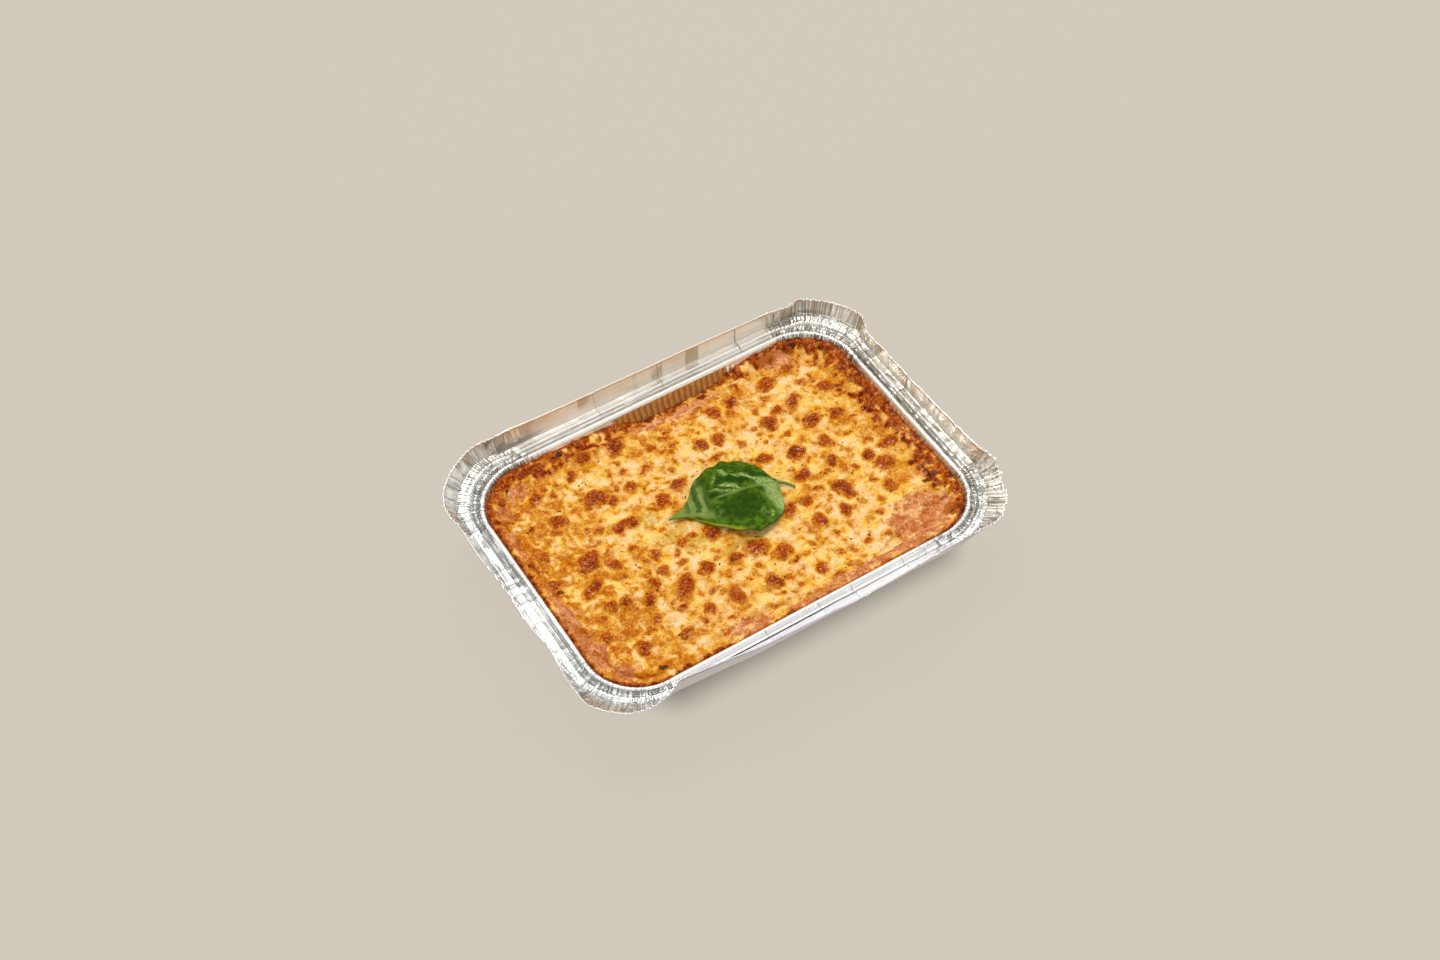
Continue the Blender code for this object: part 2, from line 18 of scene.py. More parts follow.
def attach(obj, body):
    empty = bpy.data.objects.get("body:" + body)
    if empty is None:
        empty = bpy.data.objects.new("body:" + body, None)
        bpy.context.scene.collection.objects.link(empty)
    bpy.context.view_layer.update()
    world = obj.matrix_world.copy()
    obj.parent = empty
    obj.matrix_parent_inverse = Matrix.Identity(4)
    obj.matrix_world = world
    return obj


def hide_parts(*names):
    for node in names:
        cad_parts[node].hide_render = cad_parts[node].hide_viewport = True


bl_info = {
    "name": "Foil Tray Lasagne",
    "version": (1, 0, 0),
    "blender": (4, 5, 0),
    "location": "View3D > Sidebar > Lasagne",
    "description": "Builds a foil tray of baked lasagne with a basil leaf",
    "category": "Object",
}

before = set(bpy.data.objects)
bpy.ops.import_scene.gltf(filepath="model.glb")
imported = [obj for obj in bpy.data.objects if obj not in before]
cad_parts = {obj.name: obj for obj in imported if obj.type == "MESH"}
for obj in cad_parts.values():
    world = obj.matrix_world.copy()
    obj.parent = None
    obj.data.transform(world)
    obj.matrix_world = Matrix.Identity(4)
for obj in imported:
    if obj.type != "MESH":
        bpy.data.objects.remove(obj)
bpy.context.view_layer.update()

MM = 0.001
RUN_RADIUS = 95.0
FLOOR_INSET = 15.4
FLOOR_GAP = 0.05
FLUTES_SHORT, FLUTES_LONG, FLUTES_CORNER = 27, 46, 12
CORNER_R_PER_INSET = 0.3
LIP_START = 9.7
LIP_STRAIGHT = 9.2
HEM_RADIUS = 0.38
FOOD_SEAT_Z = -8.8
FLAKE_MM = 1.1
HERB_AREA = 4 * 0.0918 * 0.0628

# Fluted wall from foot to head: offset out from the rim's inner edge, height from the rim
WALL_PROFILE = (
    (-13.0, -33.2), (-12.4, -31.6), (-9.4, -24.0), (-6.0, -15.2), (-3.6, -9.1), (-1.9, -4.7), (-1.0, -2.4),
)
WALL_FOOT, WALL_HEAD = WALL_PROFILE[0], WALL_PROFILE[-1]
LIP_SHARES = (0.05, 0.12, 0.22, 0.34, 0.46, 0.58, 0.70, 0.80, 0.88, 0.94, 1.0)

# Stations run round the tray: 0 to 1 is the right side, 1 to 2 the far right corner, 2 to 3 the far
# side, and so on anticlockwise. Lean is 0 for a lip that lies flat and 90 for one that stands.
LIP_LEAN = (
    (0, 74), (0.12, 80), (0.3, 86), (0.5, 89), (0.8, 92), (0.98, 95), (1.08, 84), (1.16, 62), (1.3, 50),
    (1.5, 46), (1.64, 54), (1.72, 88), (1.9, 91), (2.15, 86), (2.4, 82), (2.6, 80), (2.9, 73),
    (2.98, 66), (3.08, 62), (3.2, 58), (3.35, 47), (3.5, 38), (3.62, 39), (3.72, 48), (3.82, 56),
    (4, 62), (4.2, 60), (4.4, 66), (4.75, 66), (4.9, 74), (5.05, 68), (5.2, 56), (5.32, 34), (5.6, 34),
    (5.76, 48), (5.9, 68), (6, 86), (6.28, 74), (6.49, 68), (6.59, 64), (6.82, 69), (7.05, 77),
    (7.2, 62), (7.32, 44), (7.46, 16), (7.6, 8), (7.8, 14), (7.92, 46), (8, 74),
)
LIP_WIDTH = (
    (0, 1), (1.06, 1), (1.14, 0.74), (1.64, 0.72), (1.72, 0.98), (2.96, 1), (3.06, 0.86), (3.3, 0.74),
    (3.7, 0.74), (3.9, 1), (5.15, 1), (5.32, 1.02), (5.75, 1), (6, 1.05), (7.05, 1), (7.25, 1),
    (7.5, 0.86), (7.85, 0.9), (8, 1),
)
LEDGE_WIDTH = (
    (0, 1), (1, 1), (1.2, 1.58), (1.66, 1.58), (1.8, 1), (3, 1), (3.22, 1.5), (3.74, 1.5), (3.95, 1),
    (5.2, 1), (5.6, 0.85), (6, 0.62), (6.27, 1), (8, 1),
)

# Painted shade and painted reflection round the rim: grey of the groove and of the lip's inner face is
# painted shade, beige of the lip's inner face is painted reflection of the warm food and floor
GROOVE_PAINTED_SHADE = (
    (0, 0.6), (0.15, 0.85), (1, 0.9), (1.2, 0.5), (1.8, 0.45), (2.1, 0.3), (2.5, 0.55), (3, 0.5),
    (3.2, 0.6), (3.8, 0.65), (4.2, 0.8), (4.38, 0.7), (4.44, 0.45), (4.5, 0.3), (4.66, 0.42),
    (4.74, 0.7), (4.9, 0.7), (5.2, 0.3), (5.8, 0.08), (7, 0.05), (7.3, 0.22), (7.8, 0.3), (8, 0.45),
)
LIP_PAINTED_SHADE = (
    (0, 0.05), (0.9, 0.1), (1.2, 0.15), (1.45, 0.3), (1.6, 0.7), (1.85, 0.6), (1.95, 0.15), (2.8, 0.1),
    (2.93, 0.75), (3.06, 0.75), (3.16, 0.25), (3.6, 0.25), (3.95, 0.5), (4.05, 0.85), (4.85, 0.85),
    (5, 0.3), (5.3, 0.2), (7.2, 0.1), (8, 0.05),
)
LIP_PAINTED_REFLECTION = (
    (0, 0.75), (1, 0.85), (1.3, 0.85), (1.6, 0.75), (2, 0.85), (2.9, 0.8), (3.3, 0.6), (3.6, 0.25),
    (3.9, 0.15), (5, 0.1), (7.2, 0.1), (7.5, 0.65), (8, 0.75),
)

# Where the near rim's ledge is painted as if bent down: painted reflection, lilac like the outer face, with a
# black line of painted shadow beside it
NEAR_LEDGE_PAINTED_LIGHT = (
    (0, 0), (5.88, 0), (5.97, 1), (6.5, 1), (6.7, 0.6), (6.95, 0.35), (7.08, 0), (8, 0),
)

# How much each stretch of the rim is crumpled, and where it is creased right across; these also place painted
# shade, in patches on crushed facets and in dark lines along the creases
CRUMPLE = (
    (0, 0.7), (0.25, 0.36), (0.6, 0.42), (1, 0.3), (1.2, 0.2), (1.9, 0.2), (2, 0.12), (3, 0.16),
    (3.1, 0.3), (4, 0.3), (4.15, 0.22), (4.32, 0.5), (4.55, 0.45), (4.8, 0.25), (5.2, 0.3), (5.8, 0.25),
    (6.1, 0.14), (6.9, 0.16), (7.3, 0.45), (7.6, 0.8), (8, 0.7),
)
CREASES = (
    (0.18, 0.6), (0.33, -0.5), (0.44, 0.7), (0.62, -0.6), (0.78, 0.5), (0.9, 0.6), (2.12, 0.3),
    (2.42, -0.35), (2.66, 0.3), (4.28, 0.5), (4.35, 0.4), (4.38, -0.5), (4.41, 0.7), (4.45, -0.6),
    (4.52, 0.7), (4.66, -0.4), (4.86, 0.6), (6.52, 0.35), (6.64, -0.45), (6.83, 0.5), (6.9, -0.4),
    (6.33, 0.25),
)

# Rim profile: offset out from the inner edge, height, share of the corner pleats
RIM_PROFILE = (
    (-0.62, -1.6, 0.05), (-0.3, -0.95, 0.12), (-0.05, -0.35, 0.22), (0.25, 0.22, 0.28),
    (0.7, 0.62, 0.25), (1.2, 0.78, 0.2), (1.8, 0.7, 0.24), (2.3, 0.38, 0.36), (2.65, -0.1, 0.48),
    (3, -0.6, 0.55), (3.5, -0.88, 0.6), (4.3, -0.94, 0.6), (5.05, -0.84, 0.56), (5.5, -0.42, 0.5),
    (5.8, 0.1, 0.46), (6.15, 0.4, 0.46), (6.6, 0.44, 0.5), (7.1, 0.28, 0.56), (7.7, 0.22, 0.62),
    (8.4, 0.28, 0.7), (9.1, 0.34, 0.8), (9.5, 0.4, 0.9), (9.7, 0.52, 1),
)

# Height of the food where it meets the wall, and how far the cheese stays off the wall
FOOD_EDGE_Z = (
    (0, -1.5), (0.3, -2), (1, -1.6), (1.3, -0.9), (1.8, -0.9), (2.08, -1.2), (2.18, -2.8), (2.27, -7),
    (2.52, -7.4), (2.6, -4.4), (2.68, -1.8), (3, -1.1), (4, -1.1), (5.5, -1.5), (6.5, -1.6),
    (7.5, -1.2), (8, -1.5),
)
CHEESE_MARGIN = (
    (0, 2.2), (0.55, 1.6), (1.1, 3), (1.4, 7), (1.75, 9.5), (2.05, 5), (2.35, 3.2), (2.7, 3.6),
    (3.1, 2.6), (3.6, 4), (4, 3.2), (4.4, 2.6), (4.8, 6), (5.2, 5.2), (5.6, 3), (6.1, 3), (6.3, 8),
    (6.42, 6.5), (6.52, 2.6), (6.75, 2.4), (6.92, 9.5), (7.1, 13.5), (7.4, 10), (7.75, 3.6), (8, 2.2),
)
# How far the dark baked crust reaches in from the wall
CRUST_REACH = (
    (0, 10), (0.5, 12.5), (1, 12), (1.5, 10), (2, 7), (2.6, 7.5), (3, 11), (3.5, 9), (4, 4), (4.5, 2),
    (5, 1.6), (5.5, 3), (6, 3), (6.5, 1), (7, 1), (7.3, 3), (7.5, 7), (8, 10),
)

# Browned blisters: place, half length, half width, turn in degrees, height
BLISTERS = (
    (-48, 35, 7.5, 5.2, 10, 1.7), (-41, 30, 3, 2.5, 0, 0.9), (-68, 33, 4.8, 4, 0, 1.3),
    (-45, 15, 8.6, 2.6, -4, 1.2), (-68, 7, 7.5, 5, 30, 1.5), (-59, -1, 3.4, 2.8, 0, 1),
    (-74, -7, 6.2, 2.6, 34, 1.2), (-72, -20, 3, 2.8, 0, 1.1), (-66, -22, 2.9, 3, 0, 1.1),
    (-50, -19, 2.9, 2.8, 0, 1.2), (-42, -15, 3, 2.4, 0, 0.9), (-56, -26, 3, 2.8, 0, 1.1),
    (-41, -6, 2.9, 2.8, 0, 1.1), (-39, -28, 8.2, 4.2, 48, 1.5), (-26, -25, 4, 2.8, 0, 0.9),
    (-22, -44, 2.8, 5.6, 0, 1.4), (-12, -27, 4.4, 3.2, 0, 1.1), (-1, -27, 5.6, 4.8, -20, 1.8),
    (8, -35, 4.4, 3.8, 20, 1.4), (-14, -9, 4.4, 5.2, 0, 1.2), (-27, -7, 3, 2.4, 0, 0.9),
    (-23, 18, 4.4, 4, 0, 1.2), (-12, 22, 3.6, 3, 20, 1), (-31, 32, 3, 3.4, 0, 1.1),
    (-25, 56, 6, 3.6, 40, 1.3), (-42, 58, 3.4, 3.2, 0, 1), (-51, 53, 2.6, 2.6, 0, 0.9),
    (-71, 49, 3, 2.6, 0, 0.9), (24, 50, 4.2, 4.2, 0, 1.3), (35, 51, 3.8, 3.8, 0, 1.2),
    (9, 36, 3.2, 3.4, 0, 1.1), (18, 35, 3.2, 3.6, 0, 1.1), (43, 30, 3.8, 4.6, 0, 1.4),
    (55, 51, 6, 4.2, 0, 1.2), (60, 35, 5.6, 3.2, 48, 1.3), (50, 34, 2.8, 2.8, 0, 0.9),
    (78, 35, 3.8, 4.2, 0, 1.2), (61, 21, 5.2, 3.2, 12, 1.2), (74, 19, 3.8, 3.4, 0, 1.1),
    (30, 14, 3, 3.4, 0, 1.1), (44, 9, 4.6, 3.6, 20, 1.2), (60, 7, 3.2, 4.6, 0, 1.3),
    (56, -4, 3, 3, 0, 1.1), (72, -10, 2.6, 2.8, 0, 1), (84, -9, 4.6, 3.2, -10, 1.1),
    (39, -4, 4.4, 2.8, 24, 1.1), (23, -17, 4.6, 3.4, 35, 1.2), (32, -17, 3, 2.4, 0, 0.9),
    (51, -20, 4.2, 7, 18, 1.6), (76, -18, 4.8, 4.4, 0, 1.2), (32, -30, 3.8, 4.4, 0, 1.3),
    (45, -31, 3, 3.4, 0, 1.1), (70, -30, 3.8, 3.2, 0, 1.1), (-45, -37, 2.4, 2.4, 0, 0.9),
    (-71, -46, 3.4, 3.8, 0, 1.1), (-51, -49, 4, 2.2, 10, 0.9), (-4, -47, 3, 3.8, 0, 1.1),
    (18, -52, 3.4, 3, 0, 1.1), (-36, -43, 2.2, 3.2, 0, 0.8), (-82, -33, 2.6, 3, 0, 1),
)
# Flatter browned marks between them, of turn 0 and height 0.4 where a row leaves them out
MARK_REST = (0, 0.4)
MARKS = (
    (-60, 51, 1.7, 1.5), (-20, 38, 4.8, 1.2, 38), (-11, 47, 3, 2.2, 20), (-73, 28, 2.3, 1.8),
    (-64, 63, 6.4, 3.2, 8, 1.2), (26, 26, 1.6, 1.6), (11, 26, 3.2, 1.6, 10), (-84, 18, 3.6, 2.8, 20, 1),
    (-87, 2, 4, 2.6, 10, 1), (-57, -36, 2.6, 1.6, 35), (-7, -48, 1.6, 2.4), (22, -60, 2.4, 1.3, 10),
    (76, -3, 2.6, 2, 0, 0.5), (62, -34, 1.7, 1.4), (44, -50, 1.8, 1.4), (34, -39, 2.2, 1.6),
    (53, -52, 1.6, 1.3), (71, -56, 3, 1.5, 20, 0.5), (84, -56, 3.6, 2.8, 0, 0.9),
    (90, -25, 2.6, 4, 0, 0.9), (90, 40, 2.6, 3.4, 0, 0.9), (90, 15, 2.4, 4.4, 0, 0.9),
    (-29, 42, 1.8, 1.5), (-56, 18, 2.2, 1.7), (-60, 22, 1.5, 1.3), (-31, 4, 1.6, 1.4),
    (-56, 8, 1.7, 1.3), (-22, -5, 2, 1.6, 0, 0.5), (-5, 40, 2.2, 1.4), (0, 52, 1.9, 1.4),
    (70, 55, 2.4, 1.8, 0, 0.5), (83, 27, 1.8, 2), (70, 44, 1.8, 1.2), (48, 20, 1.6, 1.4),
    (37, 22, 1.3, 1.2, 0, 0.3), (66, -24, 1.6, 1.3), (57, -40, 1.8, 1.2), (-47, 2, 1.9, 1.5),
    (-33, -16, 1.6, 1.3), (-63, -40, 1.7, 1.6), (-30, -36, 1.5, 1.3), (-13, -39, 1.6, 1.2, 0, 0.3),
    (-84, 45, 2.6, 2.2, 0, 0.7), (-80, 36, 2.2, 1.8, 0, 0.5), (-78, -24, 2, 2.4, 0, 0.5),
    (-40, 63, 3.6, 1.6, 0, 0.8), (-8, 62, 3, 1.6, 0, 0.7), (60, 62, 3.6, 1.8, 0, 0.8),
    (-91, 16, 1.8, 2.6, 0, 0.8), (-88, -3, 2.4, 1.6, 0, 0.8), (-72, 27, 2.6, 1.6, 0, 0.6),
    (-81, 62, 4, 2.8, 30, 1), (-89, -24, 2.2, 1.8, 0, 0.6), (-90, -38, 1.8, 2, 0, 0.6),
    (-88, 42, 2.4, 2, 0, 0.7), (-90, 30, 1.8, 2.2, 0, 0.6),
)
# Where the creamy tomato sauce shows: place, half length, half width
SAUCE_PATCHES = (
    (72, -52, 17, 13), (58, -64, 14, 5), (-26, -62, 12, 6), (34, -64, 22, 3), (6, -65, 18, 2.5),
    (-92, -16, 3.4, 20), (-91, -38, 4.5, 14), (-84, -54, 5, 7), (10, 59, 24, 3.4), (66, 60, 9, 5),
    (-78, 56, 7, 4), (-93, 30, 2, 14), (-88, 50, 3, 6),
)
# Painted shade and green light reflected from the basil leaf, on the cheese beside and under it: place, half
# length, half width
LEAF_SHADE_PATCHES = (
    (-30, -1, 9, 4), (-20, -10, 10, 4), (-4, -22, 14, 4), (16, -18, 8, 4), (-33, 12, 5, 4),
)
# Spots burnt nearly black: place and radius
BURNT = (
    (85, -37, 1.9), (-92, 16, 1.9), (-88, -3, 1.9), (-70, -60, 2.6), (-50, 64, 2.6), (78, 63, 3.2),
    (88, 55, 2), (92, 8, 1.6), (91, -30, 1.6), (11, -42, 1), (-80, 58, 1.8),
)

SWELLS = 7
SWELL_HEIGHT = 0.22
CHEESE_Z = -5.4

# Basil blade: its foot and tip, and the half widths of its two sides along its length
LEAF_FOOT = (25.4, -2.0)
LEAF_TIP = (-26.6, 5.8)
LEAF_LOW = -4.3
LEAF_UPPER = (
    (-0.03, 0.6), (0, 4.3), (0.035, 9), (0.085, 13.5), (0.16, 16.4), (0.25, 18.4), (0.34, 19),
    (0.44, 18.6), (0.55, 17.2), (0.64, 15), (0.72, 11), (0.79, 6), (0.85, 2.8), (0.92, 1.4), (1, 0.3),
)
LEAF_LOWER = (
    (-0.03, 0.6), (0, 10.2), (0.035, 13.8), (0.085, 17.4), (0.16, 20), (0.25, 22.4), (0.34, 23.4),
    (0.44, 21.2), (0.55, 17), (0.64, 13), (0.72, 8), (0.79, 3.8), (0.85, 2), (0.92, 1.2), (1, 0.3),
)
STEM_LENGTH = 9.2
STEM_HALF = 0.45
STEM_TURN = math.radians(-47)
# Painted shade in the blade's hollows and painted highlights on its ridges: place, half length, half width,
# turn, tone (below 0 for shade, above 0 for highlight)
LEAF_SHADE_AND_HIGHLIGHTS = (
    (8.4, 6.9, 8, 1.8, -28, -1), (19.3, 5.7, 5.7, 1.3, -40, -0.9), (-3.1, 2.8, 4.5, 1.4, -36, -1),
    (4.8, -7.3, 8.6, 6.6, -10, -0.8), (12, 13.5, 7, 1.2, -38, -0.5), (-5.5, 14, 4, 1.6, 10, -0.6),
    (1.5, 8.2, 3, 1.4, -60, -0.7), (15.9, 4.4, 4.8, 0.8, -32, 0.9), (21.3, -0.8, 4.4, 2.6, -20, 0.8),
    (5.1, 4.5, 4.8, 0.8, -32, 0.9), (3.6, 2.2, 3.4, 0.6, -26, 0.7), (6.3, 13.4, 3, 0.8, -80, 0.8),
    (21.6, -8.2, 3.4, 7, 0, 0.7), (14.5, -16, 2.6, 0.7, 40, 0.7), (11.5, -13, 1.6, 0.5, 30, 0.7),
    (0.5, 10.6, 2, 0.7, 40, 0.6), (-1.5, 5.2, 3, 0.6, -20, 0.7), (11, 8.9, 3.6, 0.5, -30, 0.6),
)


# ---- Settings ----

def length_setting(name, about, default):
    return FloatProperty(name=name, description=about, default=default, unit="LENGTH")


def colour_setting(name, about, default):
    return FloatVectorProperty(name=name, description=about, default=default, subtype="COLOR")


class TraySettings(bpy.types.PropertyGroup):
    """Sizes and finish of the foil tray"""
    rim_height: length_setting("Rim height", "Height of the rim above the table", 0.035)
    half_length: length_setting("Half length", "Middle to the rim's inner edge, along X", 0.0968)
    half_width: length_setting("Half width", "Middle to the rim's inner edge, along Y", 0.0678)
    corner_radius: length_setting("Corner radius", "Radius of the rim's inner corners", 0.025)
    sheet: length_setting("Foil", "Thickness of the foil sheet", 0.00022)
    flute_depth: length_setting("Flute depth", "Half the depth of the wall's flutes", 0.00045)
    pleats: IntProperty(name="Pleats", description="Pleats in each corner of the rim", default=27)
    crumple: FloatProperty(name="Crumple", description="Strength of the rim's dents", default=1.0,
                           subtype="FACTOR")
    foil_colour: colour_setting("Foil colour", "Colour of clean foil", (0.95, 0.95, 0.94))
    baked_colour: colour_setting("Baked-on colour", "Cheese baked onto the wall", (0.66, 0.28, 0.055))


class FoodSettings(bpy.types.PropertyGroup):
    """Colours and relief of the baked top"""
    spacing: length_setting("Spacing", "Distance between points of the baked surface", 0.00062)
    small_blisters: IntProperty(name="Small blisters", description="Small browned spots", default=190)
    herb_count: IntProperty(name="Herb flecks", description="Dried herb flecks on the cheese", default=120)
    seed: IntProperty(name="Seed", description="Seed of what is scattered", default=12)
    toast: colour_setting("Toast", "Browned cheese", (0.42, 0.115, 0.012))
    sauce: colour_setting("Sauce", "Creamy tomato sauce", (0.64, 0.25, 0.105))
    herb: colour_setting("Herb", "Dried herbs", (0.050, 0.048, 0.008))


class LeafSettings(bpy.types.PropertyGroup):
    """Colours of the basil leaf"""
    blade: colour_setting("Blade", "Main green", (0.070, 0.140, 0.003))
    deep: colour_setting("Deep", "Darkest green", (0.014, 0.045, 0.001))
    pale: colour_setting("Pale", "Pale, matt green", (0.22, 0.31, 0.075))
    vein: colour_setting("Vein", "Veins and stem", (0.17, 0.24, 0.045))
    edge: colour_setting("Rolled edge", "Yellow-green edge", (0.22, 0.29, 0.012))


class StudioSettings(bpy.types.PropertyGroup):
    """Floor, light and camera"""
    floor_colour: colour_setting("Floor", "Colour of the floor", (0.05, 0.0455, 0.039))
    floor_glow: colour_setting("Floor glow", "Light that evens out the floor", (0.583, 0.535, 0.456))
    bright_room: colour_setting("Bright walls", "Softly lit part of the room", (1.0, 0.99, 0.97))
    dark_room: colour_setting("Dark walls", "Unlit part of the room", (0.11, 0.105, 0.10))
    room_power: FloatProperty(name="Room light", description="Strength of the room's light", default=1.08)
    key_power: FloatProperty(name="Key light", description="Power of the main soft light",
                             default=9.0, unit="POWER")
    azimuth: FloatProperty(name="Azimuth", description="Camera's turn round the tray", default=-32.4)
    elevation: FloatProperty(name="Elevation", description="Camera's height angle", default=52.0)
    distance: length_setting("Distance", "Camera to the rim's middle", 0.910)
    lens: FloatProperty(name="Lens", description="Focal length", default=50.0, unit="CAMERA")


# ---- Shader maths ----

def add_node(tree, kind, settings=None, values=None):
    """A node with its settings made, and its inputs set or linked."""
    made = tree.nodes.new(kind)
    for key, value in (settings or {}).items():
        setattr(made, key, value)
    for key, value in (values or {}).items():
        source = getattr(value, "socket", value)
        if isinstance(source, bpy.types.NodeSocket):
            tree.links.new(source, made.inputs[key])
        else:
            made.inputs[key].default_value = value
    return made


class Wire:
    """One output socket, so that shader maths reads as an expression."""

    def __init__(self, graph, socket):
        self.graph = graph
        self.socket = socket

    def maths(self, operation, a, b=None, clamp=False):
        values = {0: a} if b is None else {0: a, 1: b}
        return self.graph.wire("ShaderNodeMath", {"operation": operation, "use_clamp": clamp}, values)

    def __add__(self, other):
        return self.maths("ADD", self, other)

    def __sub__(self, other):
        return self.maths("SUBTRACT", self, other)

    def __rsub__(self, other):
        return self.maths("SUBTRACT", other, self)

    def __mul__(self, other):
        return self.maths("MULTIPLY", self, other)

    __radd__ = __add__
    __rmul__ = __mul__

    def clamp(self):
        return self.maths("ADD", self, 0.0, clamp=True)

    def most(self, other):
        return self.maths("MAXIMUM", self, other)

    def near(self, middle, half, soft):
        """1 within half of the middle, falling softly to 0."""
        return self.maths("ABSOLUTE", self - middle).ramp(half, half + soft, 1.0, 0.0)

    def ramp(self, low, high, to_low=0.0, to_high=1.0):
        """Smooth step from low to high."""
        return self.graph.wire("ShaderNodeMapRange", {"interpolation_type": "SMOOTHSTEP"},
                               {0: self, 1: low, 2: high, 3: to_low, 4: to_high})


class Graph:
    """The node tree of a material or a world, with one shader."""

    def __init__(self, name, owners=None):
        self.owner = (bpy.data.materials if owners is None else owners).new(name)
        self.owner.use_nodes = True
        self.tree = self.owner.node_tree
        self.shader = next(n for n in self.tree.nodes if n.type in ("BSDF_PRINCIPLED", "BACKGROUND"))

    def node(self, kind, settings=None, values=None):
        return add_node(self.tree, kind, settings, values)

    def wire(self, kind, settings=None, values=None, output=0):
        """One output of a new node."""
        return Wire(self, self.node(kind, settings, values).outputs[output])

    def place(self, coordinates="Object"):
        return self.wire("ShaderNodeTexCoord", output=coordinates)

    def vectors(self, operation, a, b=None, output=0):
        values = {0: a} if b is None else {0: a, 1: b}
        return self.wire("ShaderNodeVectorMath", {"operation": operation}, values, output)

    def noise(self, size_mm, detail=2.0, rough=0.5, stretch=(1, 1, 1), twist=0.0):
        """Noise between 0 and 1 with patches of about the given size."""
        spot = self.wire("ShaderNodeMapping", {}, {"Vector": self.place(), "Scale": stretch})
        return self.wire("ShaderNodeTexNoise", {}, {
            "Vector": spot, "Scale": 1000.0 / size_mm, "Detail": detail, "Roughness": rough,
            "Distortion": twist}, "Fac")

    def painted(self, name, output="Fac"):
        return self.wire("ShaderNodeAttribute", {"attribute_name": name}, output=output)

    def on_sheet(self, along_mm, across_mm):
        """Places on the foil sheet, in patches of a length along it and across it."""
        return self.wire("ShaderNodeMapping", {}, {
            "Vector": self.painted("sheet", "Vector"), "Scale": (1 / along_mm, 1 / along_mm, 1 / across_mm)})

    def sheet_noise(self, along_mm, across_mm, detail=2.0, rough=0.5):
        """Noise stretched along or across the foil sheet."""
        return self.wire("ShaderNodeTexNoise", {}, {
            "Vector": self.on_sheet(along_mm, across_mm), "Scale": 1.0, "Detail": detail,
            "Roughness": rough}, "Fac")

    def folds(self, along_mm, across_mm, shift):
        """Random folds of the sheet: distance to the nearest crease, and a tone for each facet."""
        step = self.wire("ShaderNodeCombineXYZ", {}, {"Z": shift})
        spot = {"Vector": self.vectors("ADD", self.on_sheet(along_mm, across_mm), step), "Scale": 1.0}
        cell = self.wire("ShaderNodeTexVoronoi", {"feature": "F1"}, spot, "Color")
        return (self.wire("ShaderNodeTexVoronoi", {"feature": "DISTANCE_TO_EDGE"}, spot, "Distance"),
                self.wire("ShaderNodeSeparateColor", {}, {0: cell}))

    def ramp_of(self, value, stops):
        """Colours along a ramp read at a value."""
        made = self.node("ShaderNodeValToRGB", {}, {0: value})
        elements = made.color_ramp.elements
        while len(elements) < len(stops):
            elements.new(0.5)
        for element, (at, colour) in zip(elements, stops):
            element.position = at
            element.color = (*colour, 1.0)
        return Wire(self, made.outputs[0])

    def mix(self, share, a, b, blend="MIX"):
        """Colour a turning into colour b."""
        values = {0: share}
        for slot_index, value in ((6, a), (7, b)):
            values[slot_index] = value if isinstance(value, Wire) else (*value[:3], 1.0)
        return self.wire("ShaderNodeMix", {"data_type": "RGBA", "blend_type": blend}, values, 2)

    def bump(self, height, strength, distance_mm, below=None):
        values = {"Height": height, "Strength": strength, "Distance": distance_mm * MM}
        if below is not None:
            values["Normal"] = below
        return self.wire("ShaderNodeBump", {}, values)

    def finish(self, **sockets):
        """Sets or links the shader's sockets, named with _ for a space."""
        for key, value in sockets.items():
            socket = self.shader.inputs[key.replace("_", " ")]
            if isinstance(value, Wire):
                self.tree.links.new(value.socket, socket)
            elif isinstance(socket.default_value, float):
                socket.default_value = value
            else:
                socket.default_value = (*value[:3], 1.0)
        return self.owner


# ---- Shapes ----

def table(rows, at):
    """Values of a table of pairs at an array of places."""
    rows = np.array(rows)
    return np.interp(at, rows[:, 0], rows[:, 1])


def smooth(x):
    x = np.clip(x, 0.0, 1.0)
    return x * x * (3 - 2 * x)


def within(at, first, last, soft):
    """0 outside two places, rising softly to 1 between them."""
    return smooth((at - first) / soft) * smooth((last - at) / soft)


def tray_sizes():
    tray = bpy.context.scene.lasagne_tray
    return (tray.half_length / MM, tray.half_width / MM, tray.corner_radius / MM, tray.rim_height / MM)


def loop_points(offset, station):
    """Points of the rounded rectangle that lies offset outside the rim's inner edge."""
    half_x, half_y, corner, _ = tray_sizes()
    station = np.mod(np.asarray(station, float), 8)
    offset = np.asarray(offset, float) + 0 * station
    part = station.astype(int)
    along = station - part
    radius = corner + np.where(offset > 0, offset, offset * CORNER_R_PER_INSET)
    ax, ay = half_x + offset - radius, half_y + offset - radius
    side = part // 2
    turn = np.radians(90 * (side + along))
    run = 2 * along - 1
    straight_x = np.choose(side, [half_x + offset, -ax * run, -half_x - offset, ax * run])
    straight_y = np.choose(side, [ay * run, half_y + offset, -ay * run, -half_y - offset])
    round_x = np.where((side == 0) | (side == 3), ax, -ax) + radius * np.cos(turn)
    round_y = np.where(side < 2, ay, -ay) + radius * np.sin(turn)
    is_round = part % 2 == 1
    return np.where(is_round, round_x, straight_x), np.where(is_round, round_y, straight_y)


def ring_points(offset, station, z):
    x, y = loop_points(offset, station)
    return np.stack([x, y, z + 0 * x], 1)


def stations(corner_steps):
    """Places round the tray: four to each flute of the sides, and a number in each corner."""
    counts = (4 * FLUTES_SHORT, corner_steps, 4 * FLUTES_LONG, corner_steps) * 2
    return np.array([part + k / n for part, n in enumerate(counts) for k in range(n)])


def grain(points, size, seed=0.0):
    """Soft noise from -1 to 1 at an array of points, with patches of about the given size."""
    k = 1.0 / size
    return np.array([noise.noise((p[0] * k + seed, p[1] * k - seed, p[2] * k + 0.37 * seed))
                     for p in points])


